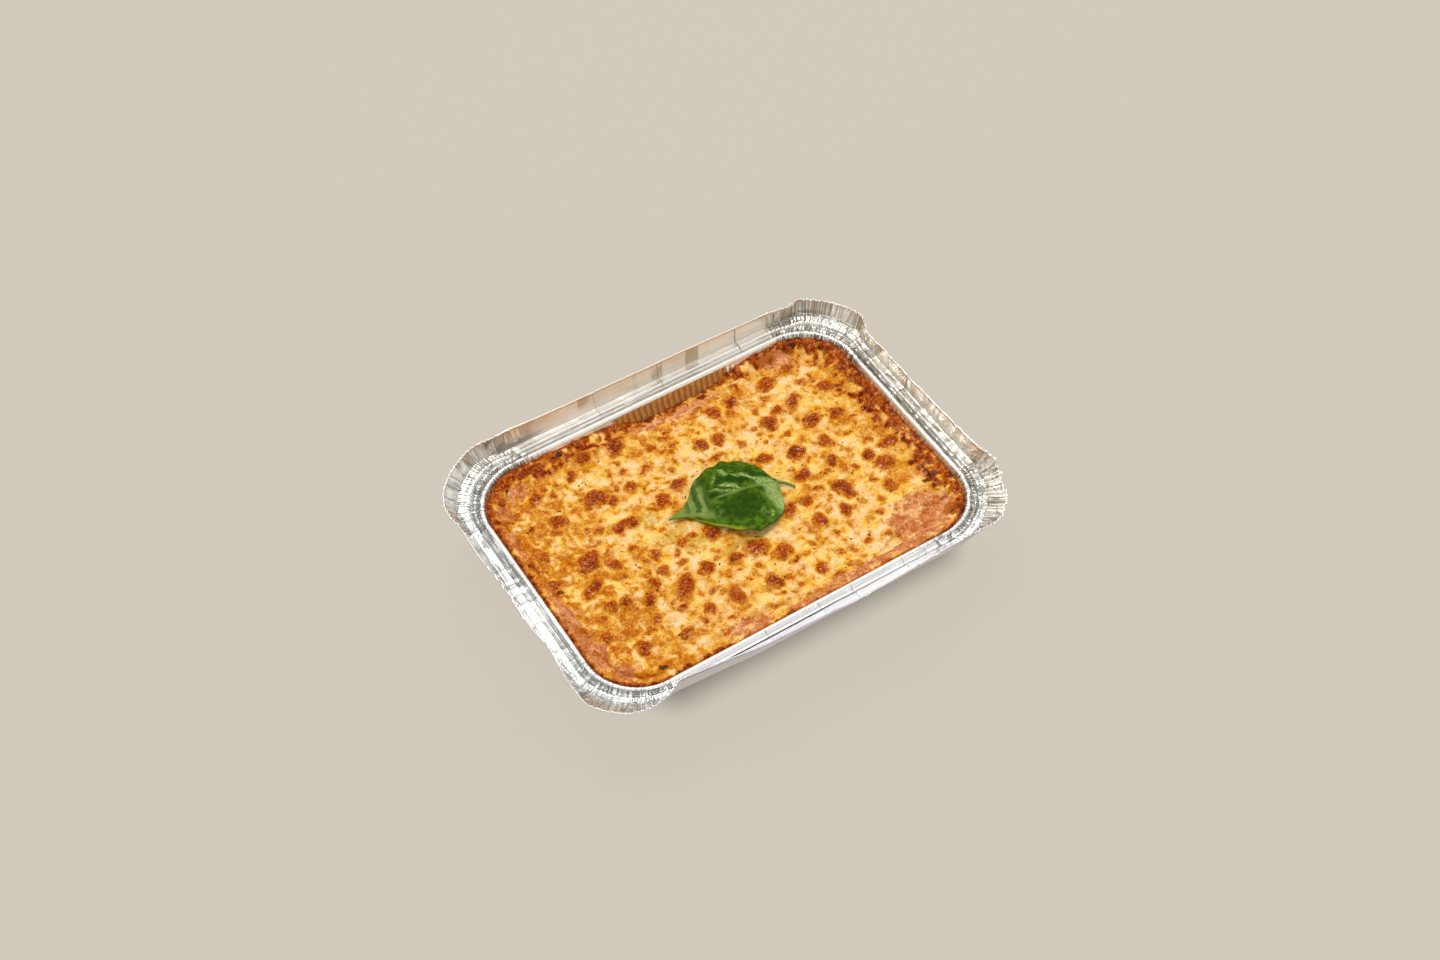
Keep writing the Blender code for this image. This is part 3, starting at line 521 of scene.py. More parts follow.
def facets(points, size, seed=0.0):
    """Small tilted planes that meet in sharp creases, as in crushed foil, from about -0.5 to 0.5."""
    k = 1.0 / size
    out = np.empty(len(points))
    for index, p in enumerate(points):
        spot = Vector((p[0] * k + seed, p[1] * k - seed, p[2] * k))
        gaps, centres = noise.voronoi(spot)
        tilt = noise.cell_vector(centres[0] * 7.3 + Vector((0.5, 0.5, 0.5)))
        rise = (spot - centres[0]).dot(tilt * 2 - Vector((1, 1, 1)))
        out[index] = rise * min(1.0, (gaps[1] - gaps[0]) * 4)
    return out


def flat_grain(x, y, size, seed=0.0):
    k = 1.0 / size
    shape = np.shape(x)
    values = [noise.noise((a * k, b * k, seed)) for a, b in zip(np.ravel(x), np.ravel(y))]
    return np.array(values).reshape(shape)


def make_piece(name, verts_mm, faces, material, paints=None):
    """A mesh object in the model's frame, with its painted attributes."""
    mesh = bpy.data.meshes.new(name)
    mesh.from_pydata((np.asarray(verts_mm) * MM).tolist(), [], faces)
    for key, values in (paints or {}).items():
        values = np.asarray(values, dtype=np.float32)
        is_place = values.ndim == 2
        layer = mesh.attributes.new(key, "FLOAT_VECTOR" if is_place else "FLOAT", "POINT")
        layer.data.foreach_set("vector" if is_place else "value", values.ravel())
    bm = bmesh.new()
    bm.from_mesh(mesh)
    bmesh.ops.recalc_face_normals(bm, faces=bm.faces[:])
    bm.to_mesh(mesh)
    bm.free()
    mesh.validate()
    mesh.shade_smooth()
    mesh.materials.append(material)
    obj = bpy.data.objects.new(name, mesh)
    bpy.context.scene.collection.objects.link(obj)
    return obj


def ring_faces(first_a, first_b, count):
    a = np.arange(count)
    b = (a + 1) % count
    return np.stack([first_a + a, first_a + b, first_b + b, first_b + a], 1).tolist()


def wall_offset(z):
    (fo, fz), (ho, hz) = WALL_FOOT, WALL_HEAD
    return fo + (ho - fo) * (z - fz) / (hz - fz)


# ---- Foil tray ----

def pleat_wave(station, count):
    """Sharp uneven pleats in the corners, fading where the straight sides begin."""
    part = np.floor(station).astype(int)
    along = station - part
    home = np.where(part % 2 == 1, part, np.where(along < 0.5, part - 1, part + 1)) % 8
    corner = np.where(part % 2 == 1, along,
                      np.where(along < 0.5, 1 + along * 2.2, -(1 - along) * 2.2))
    fade = within(corner, -0.10, 1.10, 0.14)
    rng = random.Random(31)
    jitter = [[rng.uniform(-0.32, 0.32) for _ in range(count + 12)] for _ in range(8)]
    height = [[rng.uniform(0.45, 1.0) for _ in range(count + 12)] for _ in range(8)]
    wave = np.zeros_like(station)
    for k in np.flatnonzero(fade > 0):
        spot = corner[k] * count + 5
        cell = int(math.floor(spot))
        lanes = jitter[home[k]]
        left, right = cell + lanes[cell], cell + 1 + lanes[cell + 1]
        if spot < left:
            cell -= 1
            left, right = cell + lanes[cell], left
        elif spot > right:
            cell += 1
            left, right = right, cell + 1 + lanes[cell + 1]
        share = (spot - left) / (right - left)
        wave[k] = (1 - abs(2 * share - 1) * 2) * height[home[k]][cell]
    return wave * fade


def flute_wave(station):
    """Flutes of the wall, from -1 to 1: 27 on a short side, 46 on a long side, 12 in a corner."""
    part = np.floor(station).astype(int)
    sides = np.where(part % 4 == 0, FLUTES_SHORT, FLUTES_LONG)
    count = np.where(part % 2 == 1, FLUTES_CORNER, sides)
    turn = (station - part) * count % 1
    return np.where(part % 2 == 1, 1 - 4 * np.abs(turn - 0.5), np.sin(turn * math.tau))


def bare_wall(station):
    """1 where the fluted wall shows above the food, 0 where the food meets the bead."""
    return np.maximum(within(station, 2.15, 2.68, 0.06), 0.6 * within(station, 0.15, 1.1, 0.1))


def left_side(station):
    return within(station, 3.9, 5.2, 0.2)


def tray_rings(settings):
    """Rings of the tray's inner side from the floor out to the hem, as offset and height arrays."""
    station = stations(150)
    flute = flute_wave(station)
    depth = settings.flute_depth / MM
    pleat = pleat_wave(station, settings.pleats)
    ledge = table(LEDGE_WIDTH, station)
    rough = table(CRUMPLE, station) * settings.crumple
    lean = np.radians(table(LIP_LEAN, station))
    width = LIP_STRAIGHT * table(LIP_WIDTH, station)
    base = ring_points(LIP_START, station, 0.0)
    lean = lean + 0.10 * rough * grain(base, 13, 3.1) + 0.05 * grain(base, 30, 8.2)
    loose = (1 - left_side(station)) * (1 - within(station, 6.0, 7.2, 0.2))
    wavy = 0.5 * rough * grain(base, 6, 5.5) + 0.15 * grain(base, 17, 2.2)
    width = width + (0.10 + 0.9 * loose) * wavy
    torn = within(station, 7.35, 7.98, 0.1)
    width = width + torn * (1.9 * grain(base, 2.6, 9.4) + 1.3 * grain(base, 1.2, 4.4))
    width = width + within(station, 5.0, 5.95, 0.2) * 0.45 * pleat

    crease = np.zeros_like(station)
    crease_gap = np.full_like(station, 6.0)
    edge_x, edge_y = loop_points(0.0, station)
    for at, strength in CREASES:
        cx, cy = loop_points(0.0, np.array([at]))
        gap = np.hypot(edge_x - cx[0], edge_y - cy[0])
        crease += strength * np.exp(-(gap / 0.9) ** 2)
        crease_gap = np.minimum(crease_gap, gap)

    bare = bare_wall(station)
    rings = []
    for o, z in WALL_PROFILE:
        push = depth * flute * (1.0 if z > WALL_FOOT[1] + 1 else 0.75)
        push = push * (bare + (1 - bare) * min(1.0, max(0.0, (-1.5 - z) / 6)))
        rings.append((o + push, z + 0 * station))
    for k, (o, z, share) in enumerate(RIM_PROFILE):
        out = o if o < 3 else 3 + (o - 3) * ledge
        out = out + 0 * station
        out = out + depth * flute * bare * (0.55, 0.2, 0.0)[min(k, 2)]
        lift = 0.60 * share * pleat + 0.42 * crease * min(1.0, max(0.15, o / 6))
        rings.append((out, z + lift))
    fo, fz = rings[-1]
    do, dz = np.cos(lean), np.sin(lean)
    for share in LIP_SHARES:
        push = 0.50 * pleat * (1.0 - 0.55 * share) + 0.5 * crease * (0.5 + share)
        push = push - 0.35 * math.sin(math.pi * share)
        rings.append((fo + do * width * share - dz * push, fz + dz * width * share + do * push))
    return station, rings, rough, crease_gap


def profile_step(rings, k):
    """Unit step along the profile at one ring, as offset and height arrays."""
    before, after = rings[max(k - 1, 0)], rings[min(k + 1, len(rings) - 1)]
    to, tz = after[0] - before[0], after[1] - before[1]
    size = np.hypot(to, tz) + 1e-9
    return to / size, tz / size


def crumpled(station, rings, rough, rim_from):
    """Dents and sharp creases pushed into the rim, along the sheet's own normal."""
    _, _, _, rim_z = tray_sizes()
    loose = 1 - left_side(station)
    out = rings[:rim_from]
    for k in range(rim_from, len(rings)):
        o, z = rings[k]
        to, tz = profile_step(rings, k)
        points = ring_points(o, station, z + rim_z)
        soft = grain(points, 11.0, 4.9)
        grow = min(1.0, 0.35 + (k - rim_from) / 16) * (0.15 + 0.85 * loose)
        crush = 0.9 * facets(points, 6.5, 1.7) + 0.35 * facets(points, 2.8, 6.1)
        push = grow * (rough * (crush + 0.35 * soft) + 0.05 * soft) + 0.05 * facets(points, 3.5, 3.3)
        out.append((o - tz * push, z + to * push))
    return out


def build_tray_mesh(settings):
    """Closed shell: inner side, rolled hem and underside, each ring with the same stations."""
    _, _, _, rim_z = tray_sizes()
    wall_rings = len(WALL_PROFILE)
    station, rings, rough, crease_gap = tray_rings(settings)
    rings = crumpled(station, rings, rough, wall_rings + 2)
    count = len(station)
    sheet = settings.sheet / MM
    under = []
    for k, (o, z) in enumerate(rings):
        to, tz = profile_step(rings, k)
        under.append((o + tz * sheet, z - to * sheet))
    hem = []
    for degrees in range(35, 281, 35):
        angle = math.radians(degrees)
        out_by, up_by = HEM_RADIUS * (1 - math.cos(angle)), HEM_RADIUS * math.sin(angle)
        hem.append((rings[-1][0] + tz * out_by + to * up_by, rings[-1][1] - to * out_by + tz * up_by))
    profile = rings + hem + under[-2::-1]

    verts = [ring_points(-FLOOR_INSET, station, sheet + FLOOR_GAP)]
    verts += [ring_points(o, station, z + rim_z) for o, z in profile]
    verts.append(ring_points(-FLOOR_INSET, station, 0.0))
    ring_count = len(verts)
    across = np.concatenate([np.zeros((2, count))] + [
        np.linalg.norm(after - before, axis=1)[None] for before, after in zip(verts[:-1], verts[1:])])
    across = np.cumsum(across, axis=0)[1:].ravel()
    faces = []
    for k in range(ring_count - 1):
        faces.extend(ring_faces(k * count, (k + 1) * count, count))
    verts = np.concatenate(verts)
    for first in (0, (ring_count - 1) * count):
        shrink_first = len(verts)
        verts = np.concatenate([verts, verts[first:first + count] * np.array([0.9, 0.9, 1.0])])
        faces.extend(ring_faces(first, shrink_first, count))
        faces.append(list(range(shrink_first, shrink_first + count)))

    floors = len(verts) - ring_count * count
    at = np.concatenate([np.tile(station, ring_count), np.zeros(floors)])
    x, y, z = verts[:, 0], verts[:, 1], verts[:, 2] - rim_z
    ragged = flat_grain(x, y + z * 0.6, 5.0, 3.0)
    reach = np.where((at > 2.2) & (at < 2.64), 8.2, 0.5) + 1.3 * ragged
    on_wall = np.arange(len(verts)) < count * (wall_rings + 3)
    baked = on_wall * smooth((reach - (z - table(FOOD_EDGE_Z, at))) / 1.4)
    turn = at * math.tau / 8
    across = np.concatenate([across, np.zeros(floors)])
    bands = [-8.0] * wall_rings + [o for o, _, _ in RIM_PROFILE]
    bands += list(np.linspace(10.4, 20.0, len(LIP_SHARES)))
    bands = [-9.0] + bands + [20.0] * len(hem) + bands[-2::-1] + [-9.0]
    outer = [0.0] * (len(rings) + 4) + [1.0] * (ring_count - len(rings) - 4)
    # Painted shade masks: folded marks where pleats and crumples take dark lines, crease is the distance to
    # the nearest crease for dark crease lines
    folded = np.maximum(smooth((np.abs((at % 2) - 1.5) - 0.66) / -0.14),
                        smooth((table(CRUMPLE, at) - 0.25) / 0.5) * 0.35)
    paints = {"baked": baked,
              "sheet": np.column_stack([RUN_RADIUS * np.cos(turn), RUN_RADIUS * np.sin(turn), across]),
              "band": np.concatenate([np.repeat(bands, count), np.full(floors, -9.0)]),
              "outer": np.concatenate([np.repeat(outer, count), np.zeros(floors)]),
              "folded": folded, "flute": flute_wave(at),
              "crease": np.concatenate([np.tile(crease_gap, ring_count), np.zeros(floors)])}
    # Tables of painted shade and painted reflection round the rim, and of crumpling for the painted shade of
    # crushed facets
    for name, rows in (("crushed", CRUMPLE), ("groove", GROOVE_PAINTED_SHADE), ("bent", NEAR_LEDGE_PAINTED_LIGHT),
                       ("lip_painted_shade", LIP_PAINTED_SHADE), ("lip_painted_reflection", LIP_PAINTED_REFLECTION)):
        paints[name] = table(rows, at)
    return verts, faces, paints


def foil_material(settings):
    """Foil with painted shade and painted reflection: dark lines in its folds, grey in the groove and on the
    lip, beige on the lip and lilac outside, with cheese baked onto the wall.
    """
    g = Graph("bright_foil")
    band = g.painted("band")
    folded = g.painted("folded")
    on_lip = band.ramp(9.7, 10.2)
    in_groove = band.near(3.8, 1.3, 0.5)
    parts = band.ramp(2.3, 2.5) + band.ramp(5.3, 5.5) + on_lip
    crease_gap, facet = g.folds(4.4, 60.0, parts * 7.0)
    fine_gap, fine_facet = g.folds(1.6, 60.0, parts * 5.0 + 3.0)
    crush_gap, crush_facet = g.folds(7.0, 2.2, 11.0)
    along = g.sheet_noise(30.0, 0.7)
    cloud = g.sheet_noise(6.0, 4.0)

    # Painted shade in place of the foil's changing reflections: dark lines and facets in the corner pleats,
    # grey in the groove
    pleats = (facet.ramp(0.55, 0.80) * 0.30).most(crease_gap.ramp(0.012, 0.055, 0.95, 0.0))
    pleats = pleats.most(fine_gap.ramp(0.02, 0.12, 0.7, 0.0) * cloud.ramp(0.42, 0.58))
    pleats = pleats.most(in_groove * fine_facet.ramp(0.40, 0.60) * 0.8)
    shade = pleats * folded * (0.75 + 0.25 * in_groove)
    shade = shade.most(fine_gap.ramp(0.05, 0.22, 1.0, 0.0) * folded * band.ramp(0.2, 1.1, 0.9, 0.0))
    strip = (along * 0.5 + cloud * 0.5 + fine_facet * folded * 0.25).ramp(0.36, 0.50)
    lens = in_groove * 0.8 + (g.sheet_noise(15.0, 2.4) - 0.5) * 1.9
    shade = shade.most(lens.ramp(0.44, 0.56) * in_groove.ramp(0.0, 0.3) * g.painted("groove")
                       * (0.45 + 0.55 * strip))
    # Painted shade in patches on crushed facets
    crushed = g.painted("crushed").ramp(0.35, 0.75) * band.ramp(1.0, 2.0)
    patches = (crush_facet.ramp(0.62, 0.68) * 0.7 * (1.0 - on_lip)).most(crush_gap.ramp(0.01, 0.05, 0.8, 0.0))
    shade = shade.most(patches * crushed)
    # Painted shade: thin dark lines along the rim and along the creases
    shade = shade.most(along.near(0.5, 0.006, 0.012) * 0.30 * band.ramp(0.5, 1.5))
    shade = shade.most(g.painted("crease").ramp(0.10, 0.55, 0.8, 0.0) * band.ramp(1.0, 2.0))
    # Painted shade: dark lines in the fold at the lip's foot, at the groove's edges and below the hem
    shade = shade.most(band.near(9.7, 0.10, 0.25) * 0.55)
    thin = band.near(5.45, 0.08, 0.22).most(band.near(2.45, 0.08, 0.22))
    shade = shade.most(thin * g.sheet_noise(11.0, 3.0).ramp(0.40, 0.52) * 0.62 * (1.0 - g.painted("bent")))
    shade = shade.most(band.near(18.7, 0.15, 0.30) * 0.65)
    # Painted shade: long strips at the lip's foot, facets on the lip and grey on the ledge
    long_strip = (g.sheet_noise(14.0, 1.6) * 0.8 + fine_facet * folded * 0.2).ramp(0.38, 0.46)
    foot = band.ramp(12.0, 15.0, 1.0, 0.0) * on_lip * (0.15 + 0.85 * long_strip)
    lip_painted_shade = g.painted("lip_painted_shade")
    ledge = band.near(7.5, 0.8, 0.9) * g.sheet_noise(9.0, 1.8).ramp(0.54, 0.60)
    shade = shade.most(ledge * g.painted("groove").ramp(0.45, 0.8) * 0.75)
    shade = shade.most(foot * lip_painted_shade)
    shade = shade.most(lip_painted_shade * on_lip * facet.ramp(0.50, 0.62) * 0.55)
    # Painted shadow: a black line beside the near ledge that is painted as if bent down, and a faint dark
    # line at the groove's edge there
    bent = g.painted("bent")
    black_line = bent * band.near(4.85, 0.26, 0.22)
    shade = shade.most(black_line)
    shade = shade.most(bent * band.near(3.1, 0.10, 0.25) * 0.25)
    # Painted shade in rows of folds across the ledge and the lip
    row = band + (cloud - 0.5) * 2.2
    shade = shade.most(row.near(7.3, 0.10, 0.22) * folded * fine_facet.ramp(0.25, 0.45) * 0.75)
    shade = shade.most(row.near(9.1, 0.16, 0.30) * folded * facet.ramp(0.25, 0.55) * 0.85)
    # The hem stays clean; the outer face keeps only a painted shadow below the hem
    shade = shade * band.ramp(19.1, 19.4, 1.0, 0.0)
    outside = g.painted("outer")
    shade = (shade * (1.0 - outside)).most(outside * band.near(18.1, 0.6, 0.5) * 0.75)

    # Painted reflection of the warm food and floor: beige on the lip's inner face and hem, with darker tan
    # streaks
    beige = on_lip * (1.0 - outside) * g.painted("lip_painted_reflection") * band.ramp(19.2, 19.6, 1.0, 0.0)
    colour = g.mix((cloud.ramp(0.35, 0.7) * 0.35).clamp(), settings.foil_colour,
                   [c * 0.88 for c in settings.foil_colour])
    colour = g.mix(g.painted("lip_painted_reflection") * 0.55, colour, (0.97, 0.93, 0.83))
    hem = band.ramp(19.2, 19.7) * g.painted("lip_painted_reflection")
    colour = g.mix((beige * 0.85).most(hem * 0.7), colour, (0.95, 0.84, 0.71))
    colour = g.mix(beige * facet.ramp(0.50, 0.85) * g.sheet_noise(12.0, 30.0).ramp(0.45, 0.6) * 0.8,
                   colour, (0.48, 0.34, 0.20))
    # Colour of the painted shade, browner where the lip has painted reflection, near black on the painted
    # shadow line
    dark = g.mix(g.painted("lip_painted_reflection"), (0.13, 0.135, 0.125), (0.135, 0.115, 0.075))
    dark = g.mix(black_line, dark, (0.025, 0.024, 0.022))
    colour = g.mix(shade.clamp(), colour, dark)
    # Painted reflection: lilac grey on the outer face and on the near ledge
    lilac = (outside * band.ramp(8.5, 9.5)).most(bent * band.ramp(5.9, 6.4) * 0.95)
    colour = g.mix(lilac * (1.0 - shade).clamp() * 0.85, colour, (0.72, 0.69, 0.76))
    baked = (g.painted("baked") * 1.25 - g.noise(1.3, 3.0) * 0.35).ramp(0.12, 0.62)
    # The baked cheese is darker at random and, as painted shade, in the valleys between the flutes
    flute = g.painted("flute") * 0.35 + g.noise(1.7, 3.0)
    crust = g.mix(flute.ramp(0.05, 1.0), [c * 0.36 for c in settings.baked_colour],
                  settings.baked_colour)
    colour = g.mix(baked, colour, crust)

    normal = g.bump(cloud, 0.30, 0.30)
    normal = g.bump(along, 0.25, 0.10, normal)
    normal = g.bump(crease_gap.ramp(0.0, 0.25) * folded, 0.5, 0.25, normal)
    rough = 0.20 + 0.12 * cloud + 0.35 * baked + 0.22 * beige
    return g.finish(Base_Color=colour, Metallic=1.0 - baked * 0.96, Roughness=rough, Normal=normal)


# ---- Baked food ----

def swell_terms():
    rng = random.Random(7)
    terms = []
    for _ in range(SWELLS):
        turn = rng.uniform(0, math.tau)
        wave = rng.uniform(16, 46)
        terms.append((math.cos(turn) * math.tau / wave, math.sin(turn) * math.tau / wave,
                      rng.uniform(0, math.tau)))
    return terms


SWELL_TERMS = swell_terms()


def swell(x, y):
    return SWELL_HEIGHT * sum(np.sin(kx * x + ky * y + p) for kx, ky, p in SWELL_TERMS)


def under_leaf(x, y):
    """1 under the basil leaf and 0 well away from it."""
    return smooth(1.6 - np.hypot((x - 2) / 27, (y - 1) / 20))


def edge_place(x, y):
    """Station of the nearest part of the wall, and the distance inside the rim's inner edge."""
    half_x, half_y, corner, _ = tray_sizes()
    ax, ay = half_x - corner, half_y - corner
    cx, cy = np.copysign(ax, x), np.copysign(ay, y)
    turn = np.degrees(np.arctan2(y - cy, x - cx)) % 360
    round_station = 2 * (turn // 90) + 1 + (turn % 90) / 90
    round_inside = corner - np.hypot(x - cx, y - cy)
    near_x = half_x - np.abs(x) < half_y - np.abs(y)
    run_y = np.clip(np.where(x > 0, y / ay, -y / ay), -1, 1)
    run_x = np.clip(np.where(y > 0, -x / ax, x / ax), -1, 1)
    straight = np.where(near_x, np.where(x > 0, 0, 4) + (run_y + 1) / 2,
                        np.where(y > 0, 2, 6) + (run_x + 1) / 2)
    inside = np.minimum(half_x - np.abs(x), half_y - np.abs(y))
    is_round = (np.abs(x) > ax) & (np.abs(y) > ay)
    return np.where(is_round, round_station, straight), np.where(is_round, round_inside, inside)


def scattered_blisters(settings):
    """The browned blisters, and small ones in the gaps between them."""
    rng = random.Random(settings.seed)
    spots = list(BLISTERS) + [row + MARK_REST[len(row) - 4:] for row in MARKS]
    given = len(spots)
    tries = 0
    while len(spots) < given + settings.small_blisters and tries < 20000:
        tries += 1
        x, y = rng.uniform(-90, 90), rng.uniform(-61, 61)
        size = 0.55 + 1.5 * rng.random() ** 2
        if math.hypot(x / 92, y / 63) > 1.25 or abs(x - 1) / 25 + abs(y) / 19 < 1:
            continue
        if all(math.hypot(x - s[0], y - s[1]) > size + max(s[2], s[3]) + 0.4 for s in spots):
            spots.append((x, y, size, size * rng.uniform(0.6, 1.0), rng.uniform(0, 180), size * 0.34))
    return spots


def blister_slope_shading(x, y, spots):
    """Painted light and shade on the blisters: from -1 on their far slopes, browned less as if lit, to 1 on
    their near slopes, browned more as if shaded.
    """
    ahead, _ = blister_fields(x + 0.15, y + 0.32, spots)
    behind, _ = blister_fields(x - 0.15, y - 0.32, spots)
    return np.tanh((ahead - behind) * 1.6)


def blister_fields(x, y, spots):
    """Height of the blisters, and how browned they leave each point."""
    warp_x = 2.1 * flat_grain(x, y, 4.6, 1.3) + 0.6 * flat_grain(x, y, 1.6, 7.7)
    warp_y = 2.1 * flat_grain(x, y, 4.6, 5.9) + 0.6 * flat_grain(x, y, 1.6, 2.7)
    height = np.zeros_like(x)
    brown = np.zeros_like(x)
    for index, (bx, by, long_half, wide_half, turn, tall) in enumerate(spots):
        reach = 2.6 * max(long_half, wide_half) + 3
        near = (np.abs(x - bx) < reach) & (np.abs(y - by) < reach)
        px, py = x[near] - bx, y[near] - by
        c, s = math.cos(math.radians(turn)), math.sin(math.radians(turn))
        u = (px * c + py * s) / (long_half + 0.6)
        v = (py * c - px * s) / (wide_half + 0.6)
        clean = np.hypot(u, v)
        dome = np.where(clean < 1, tall * np.sqrt(np.clip(1 - clean ** 2, 0, 1))
                        * smooth((1 - clean) * 4 + 0.2), 0)
        height[near] = np.maximum(height[near], dome)
        px, py = px + warp_x[near], py + warp_y[near]
        grow = 0.5 if tall > 0.35 else 0.15
        u = (px * c + py * s) / (long_half + grow)
        v = (py * c - px * s) / (wide_half + grow)
        ragged = np.hypot(u, v)
        size = min(long_half, wide_half)
        strength = min(0.78, 0.45 + 0.11 * size) * (0.94 + 0.10 * math.sin(index * 2.4))
        halo = 1.0 + 1.5 / size
        mark = strength * smooth((1.22 - ragged) / 0.75)
        mark = np.maximum(mark, 0.54 * strength * smooth((halo - ragged) / (halo - 0.75)))
        brown[near] = np.maximum(brown[near], mark)
    return height, brown


def sauce_level(x, y, station, inside):
    away = smooth((inside - 2) / 9)
    edge = table(FOOD_EDGE_Z, station)
    return edge + (-6.2 - edge) * away + 0.55 * swell(x * 1.7, y * 1.7) - 0.2


def cheese_level(x, y, station, inside, blisters):
    edge = table(FOOD_EDGE_Z, station) + 0.3
    away = smooth((inside - 3) / 12)
    level = edge + (CHEESE_Z - edge) * away + swell(x, y)
    cover = under_leaf(x, y)
    level = level * (1 - cover) + np.minimum(level, CHEESE_Z) * cover
    return level + blisters * (1 - 0.65 * cover)


def cheese_edge(extra):
    """Ragged outline of the cheese, moved outward by extra."""
    station = stations(48)
    margin = table(CHEESE_MARGIN, station)
    x, y = loop_points(0.0, station)
    margin = margin + 1.1 * flat_grain(x, y, 9.0, 4.0) + 0.7 * flat_grain(x, y, 3.2, 8.0)
    margin = np.maximum(margin, 0.9)
    offset = wall_offset(-6.0) - 0.85 - margin + extra
    return station, np.stack(loop_points(offset, station), 1)


def triangles(loops, loose):
    """Triangles over flat loops and loose points, with the loops' edges kept."""
    flat = [tuple(p) for loop in loops for p in loop] + [tuple(p) for p in loose]
    edges = []
    first = 0
    for loop in loops:
        n = len(loop)
        edges.extend((first + k, first + (k + 1) % n) for k in range(n))
        first += n
    verts, _, faces, source, _, _ = delaunay_2d_cdt([Vector(p) for p in flat], edges, [], 1, 1e-6)
    return np.array([tuple(v) for v in verts]), faces, [ids[0] for ids in source]


def inside_loop(x, y, loop):
    hit = np.zeros(np.shape(x), bool)
    following = np.roll(loop, -1, axis=0)
    for (x0, y0), (x1, y1) in zip(loop, following):
        if y0 == y1:
            continue
        crosses = ((y0 > y) != (y1 > y)) & (x < x0 + (x1 - x0) * (y - y0) / (y1 - y0))
        hit ^= crosses
    return hit


def grid_points(spacing, seed):
    half_x, half_y, _, _ = tray_sizes()
    rng = np.random.default_rng(seed)
    xs = np.arange(-half_x, half_x, spacing)
    ys = np.arange(-half_y, half_y, spacing * 0.866)
    gx, gy = np.meshgrid(xs, ys)
    gx = gx + (np.arange(len(ys)) % 2)[:, None] * spacing / 2
    gx = gx + rng.uniform(-0.12, 0.12, gx.shape) * spacing
    gy = gy + rng.uniform(-0.12, 0.12, gy.shape) * spacing
    return gx.ravel(), gy.ravel()


def fine_relief(x, y):
    """Lumps and pits of melted, baked cheese, coarser towards the crust at the wall."""
    _, inside = edge_place(x, y)
    rough = 1 + 1.6 * smooth((12 - inside) / 8)
    lumps = 0.30 * flat_grain(x, y, 6.5, 11.0) + 0.20 * rough * flat_grain(x, y, 2.7, 21.0)
    ridges = 0.22 * rough * (1 - 2 * np.abs(flat_grain(x, y, 5.0, 31.0)))
    return lumps + ridges + 0.09 * flat_grain(x, y, 1.3, 41.0)


def patch_share(x, y, patches, wander_x, wander_y, reach, soft):
    """1 within the patches of a table, with wandering edges."""
    share = np.zeros_like(x)
    for px, py, half_x, half_y in patches:
        gap = np.hypot((x - px + wander_x) / half_x, (y - py + wander_y) / half_y)
        share = np.maximum(share, smooth((reach - gap) / soft))
    return share


def after_foot(paints, count):
    """Painted values of the top, after zeros for the points below it."""
    return {key: np.concatenate([np.zeros(count), value]) for key, value in paints.items()}


def browning(x, y, station, inside, blisters):
    """How far each point of the top is baked, the shares of sauce and burnt spots there, and the share of
    painted shade from the basil leaf.
    """
    patch = flat_grain(x, y, 19.0, 51.0)
    streak = flat_grain(x, y, 5.6, 61.0)
    streak2 = flat_grain(x, y, 2.4, 71.0)
    lines = 1 - np.abs(flat_grain(x, y, 4.6, 81.0)) * 9
    reach = table(CRUST_REACH, station)
    from_wall = inside - 1.0
    crust = smooth((reach * (1.0 + 0.9 * streak + 0.6 * streak2) - from_wall) / (reach * 0.6 + 0.5))
    near_wall = smooth((2.0 * reach + 5 - from_wall) / (1.6 * reach + 4))
    ground = 0.145 + 0.32 * streak + 0.17 * streak2 + 0.22 * patch + 0.20 * near_wall
    left = smooth((-x - 38) / 45)
    ground = ground + left * (0.25 + 0.36 * streak + 0.30 * streak2)
    ground = ground + 0.10 * np.clip(lines, 0, 1) * smooth(streak + 0.5)
    islands = smooth((streak + streak2 * 0.8 - 0.30) / 0.3) * 0.22
    ground = 0.50 * np.tanh((ground + islands) / 0.46)
    bake = np.maximum(ground, blisters) + 0.12 * np.minimum(np.maximum(ground, 0), blisters)
    crust_tone = 0.71 + 0.38 * streak2 + 0.22 * streak + 0.10 * smooth((3.0 - inside) / 2)
    bake = np.maximum(bake, crust * crust_tone)
    burnt = np.zeros_like(x)
    for bx, by, size in BURNT:
        gap = np.hypot(x - bx + 2 * streak2, y - by + 2 * streak)
        burnt = np.maximum(burnt, smooth((size * 1.1 - gap) / (size * 1.0)))
    sauce = patch_share(x, y, SAUCE_PATCHES, 5 * streak, 5 * streak2, 1.35, 0.8)
    # Painted shade and green light reflected from the basil leaf, beside and under it
    olive = patch_share(x, y, LEAF_SHADE_PATCHES, 4 * streak, 4 * streak2, 1.3, 0.9)
    return {"bake": bake, "sauce": sauce, "burnt": burnt, "olive": olive}


BAKING = (
    (0.00, (0.87, 0.60, 0.33)),
    (0.11, (0.85, 0.53, 0.23)),
    (0.24, (0.765, 0.395, 0.100)),
    (0.37, (0.60, 0.230, 0.020)),
    (0.50, (0.50, 0.128, 0.004)),
    (0.64, (0.38, 0.062, 0.002)),
    (0.80, (0.26, 0.028, 0.001)),
    (1.00, (0.10, 0.014, 0.001)),
)


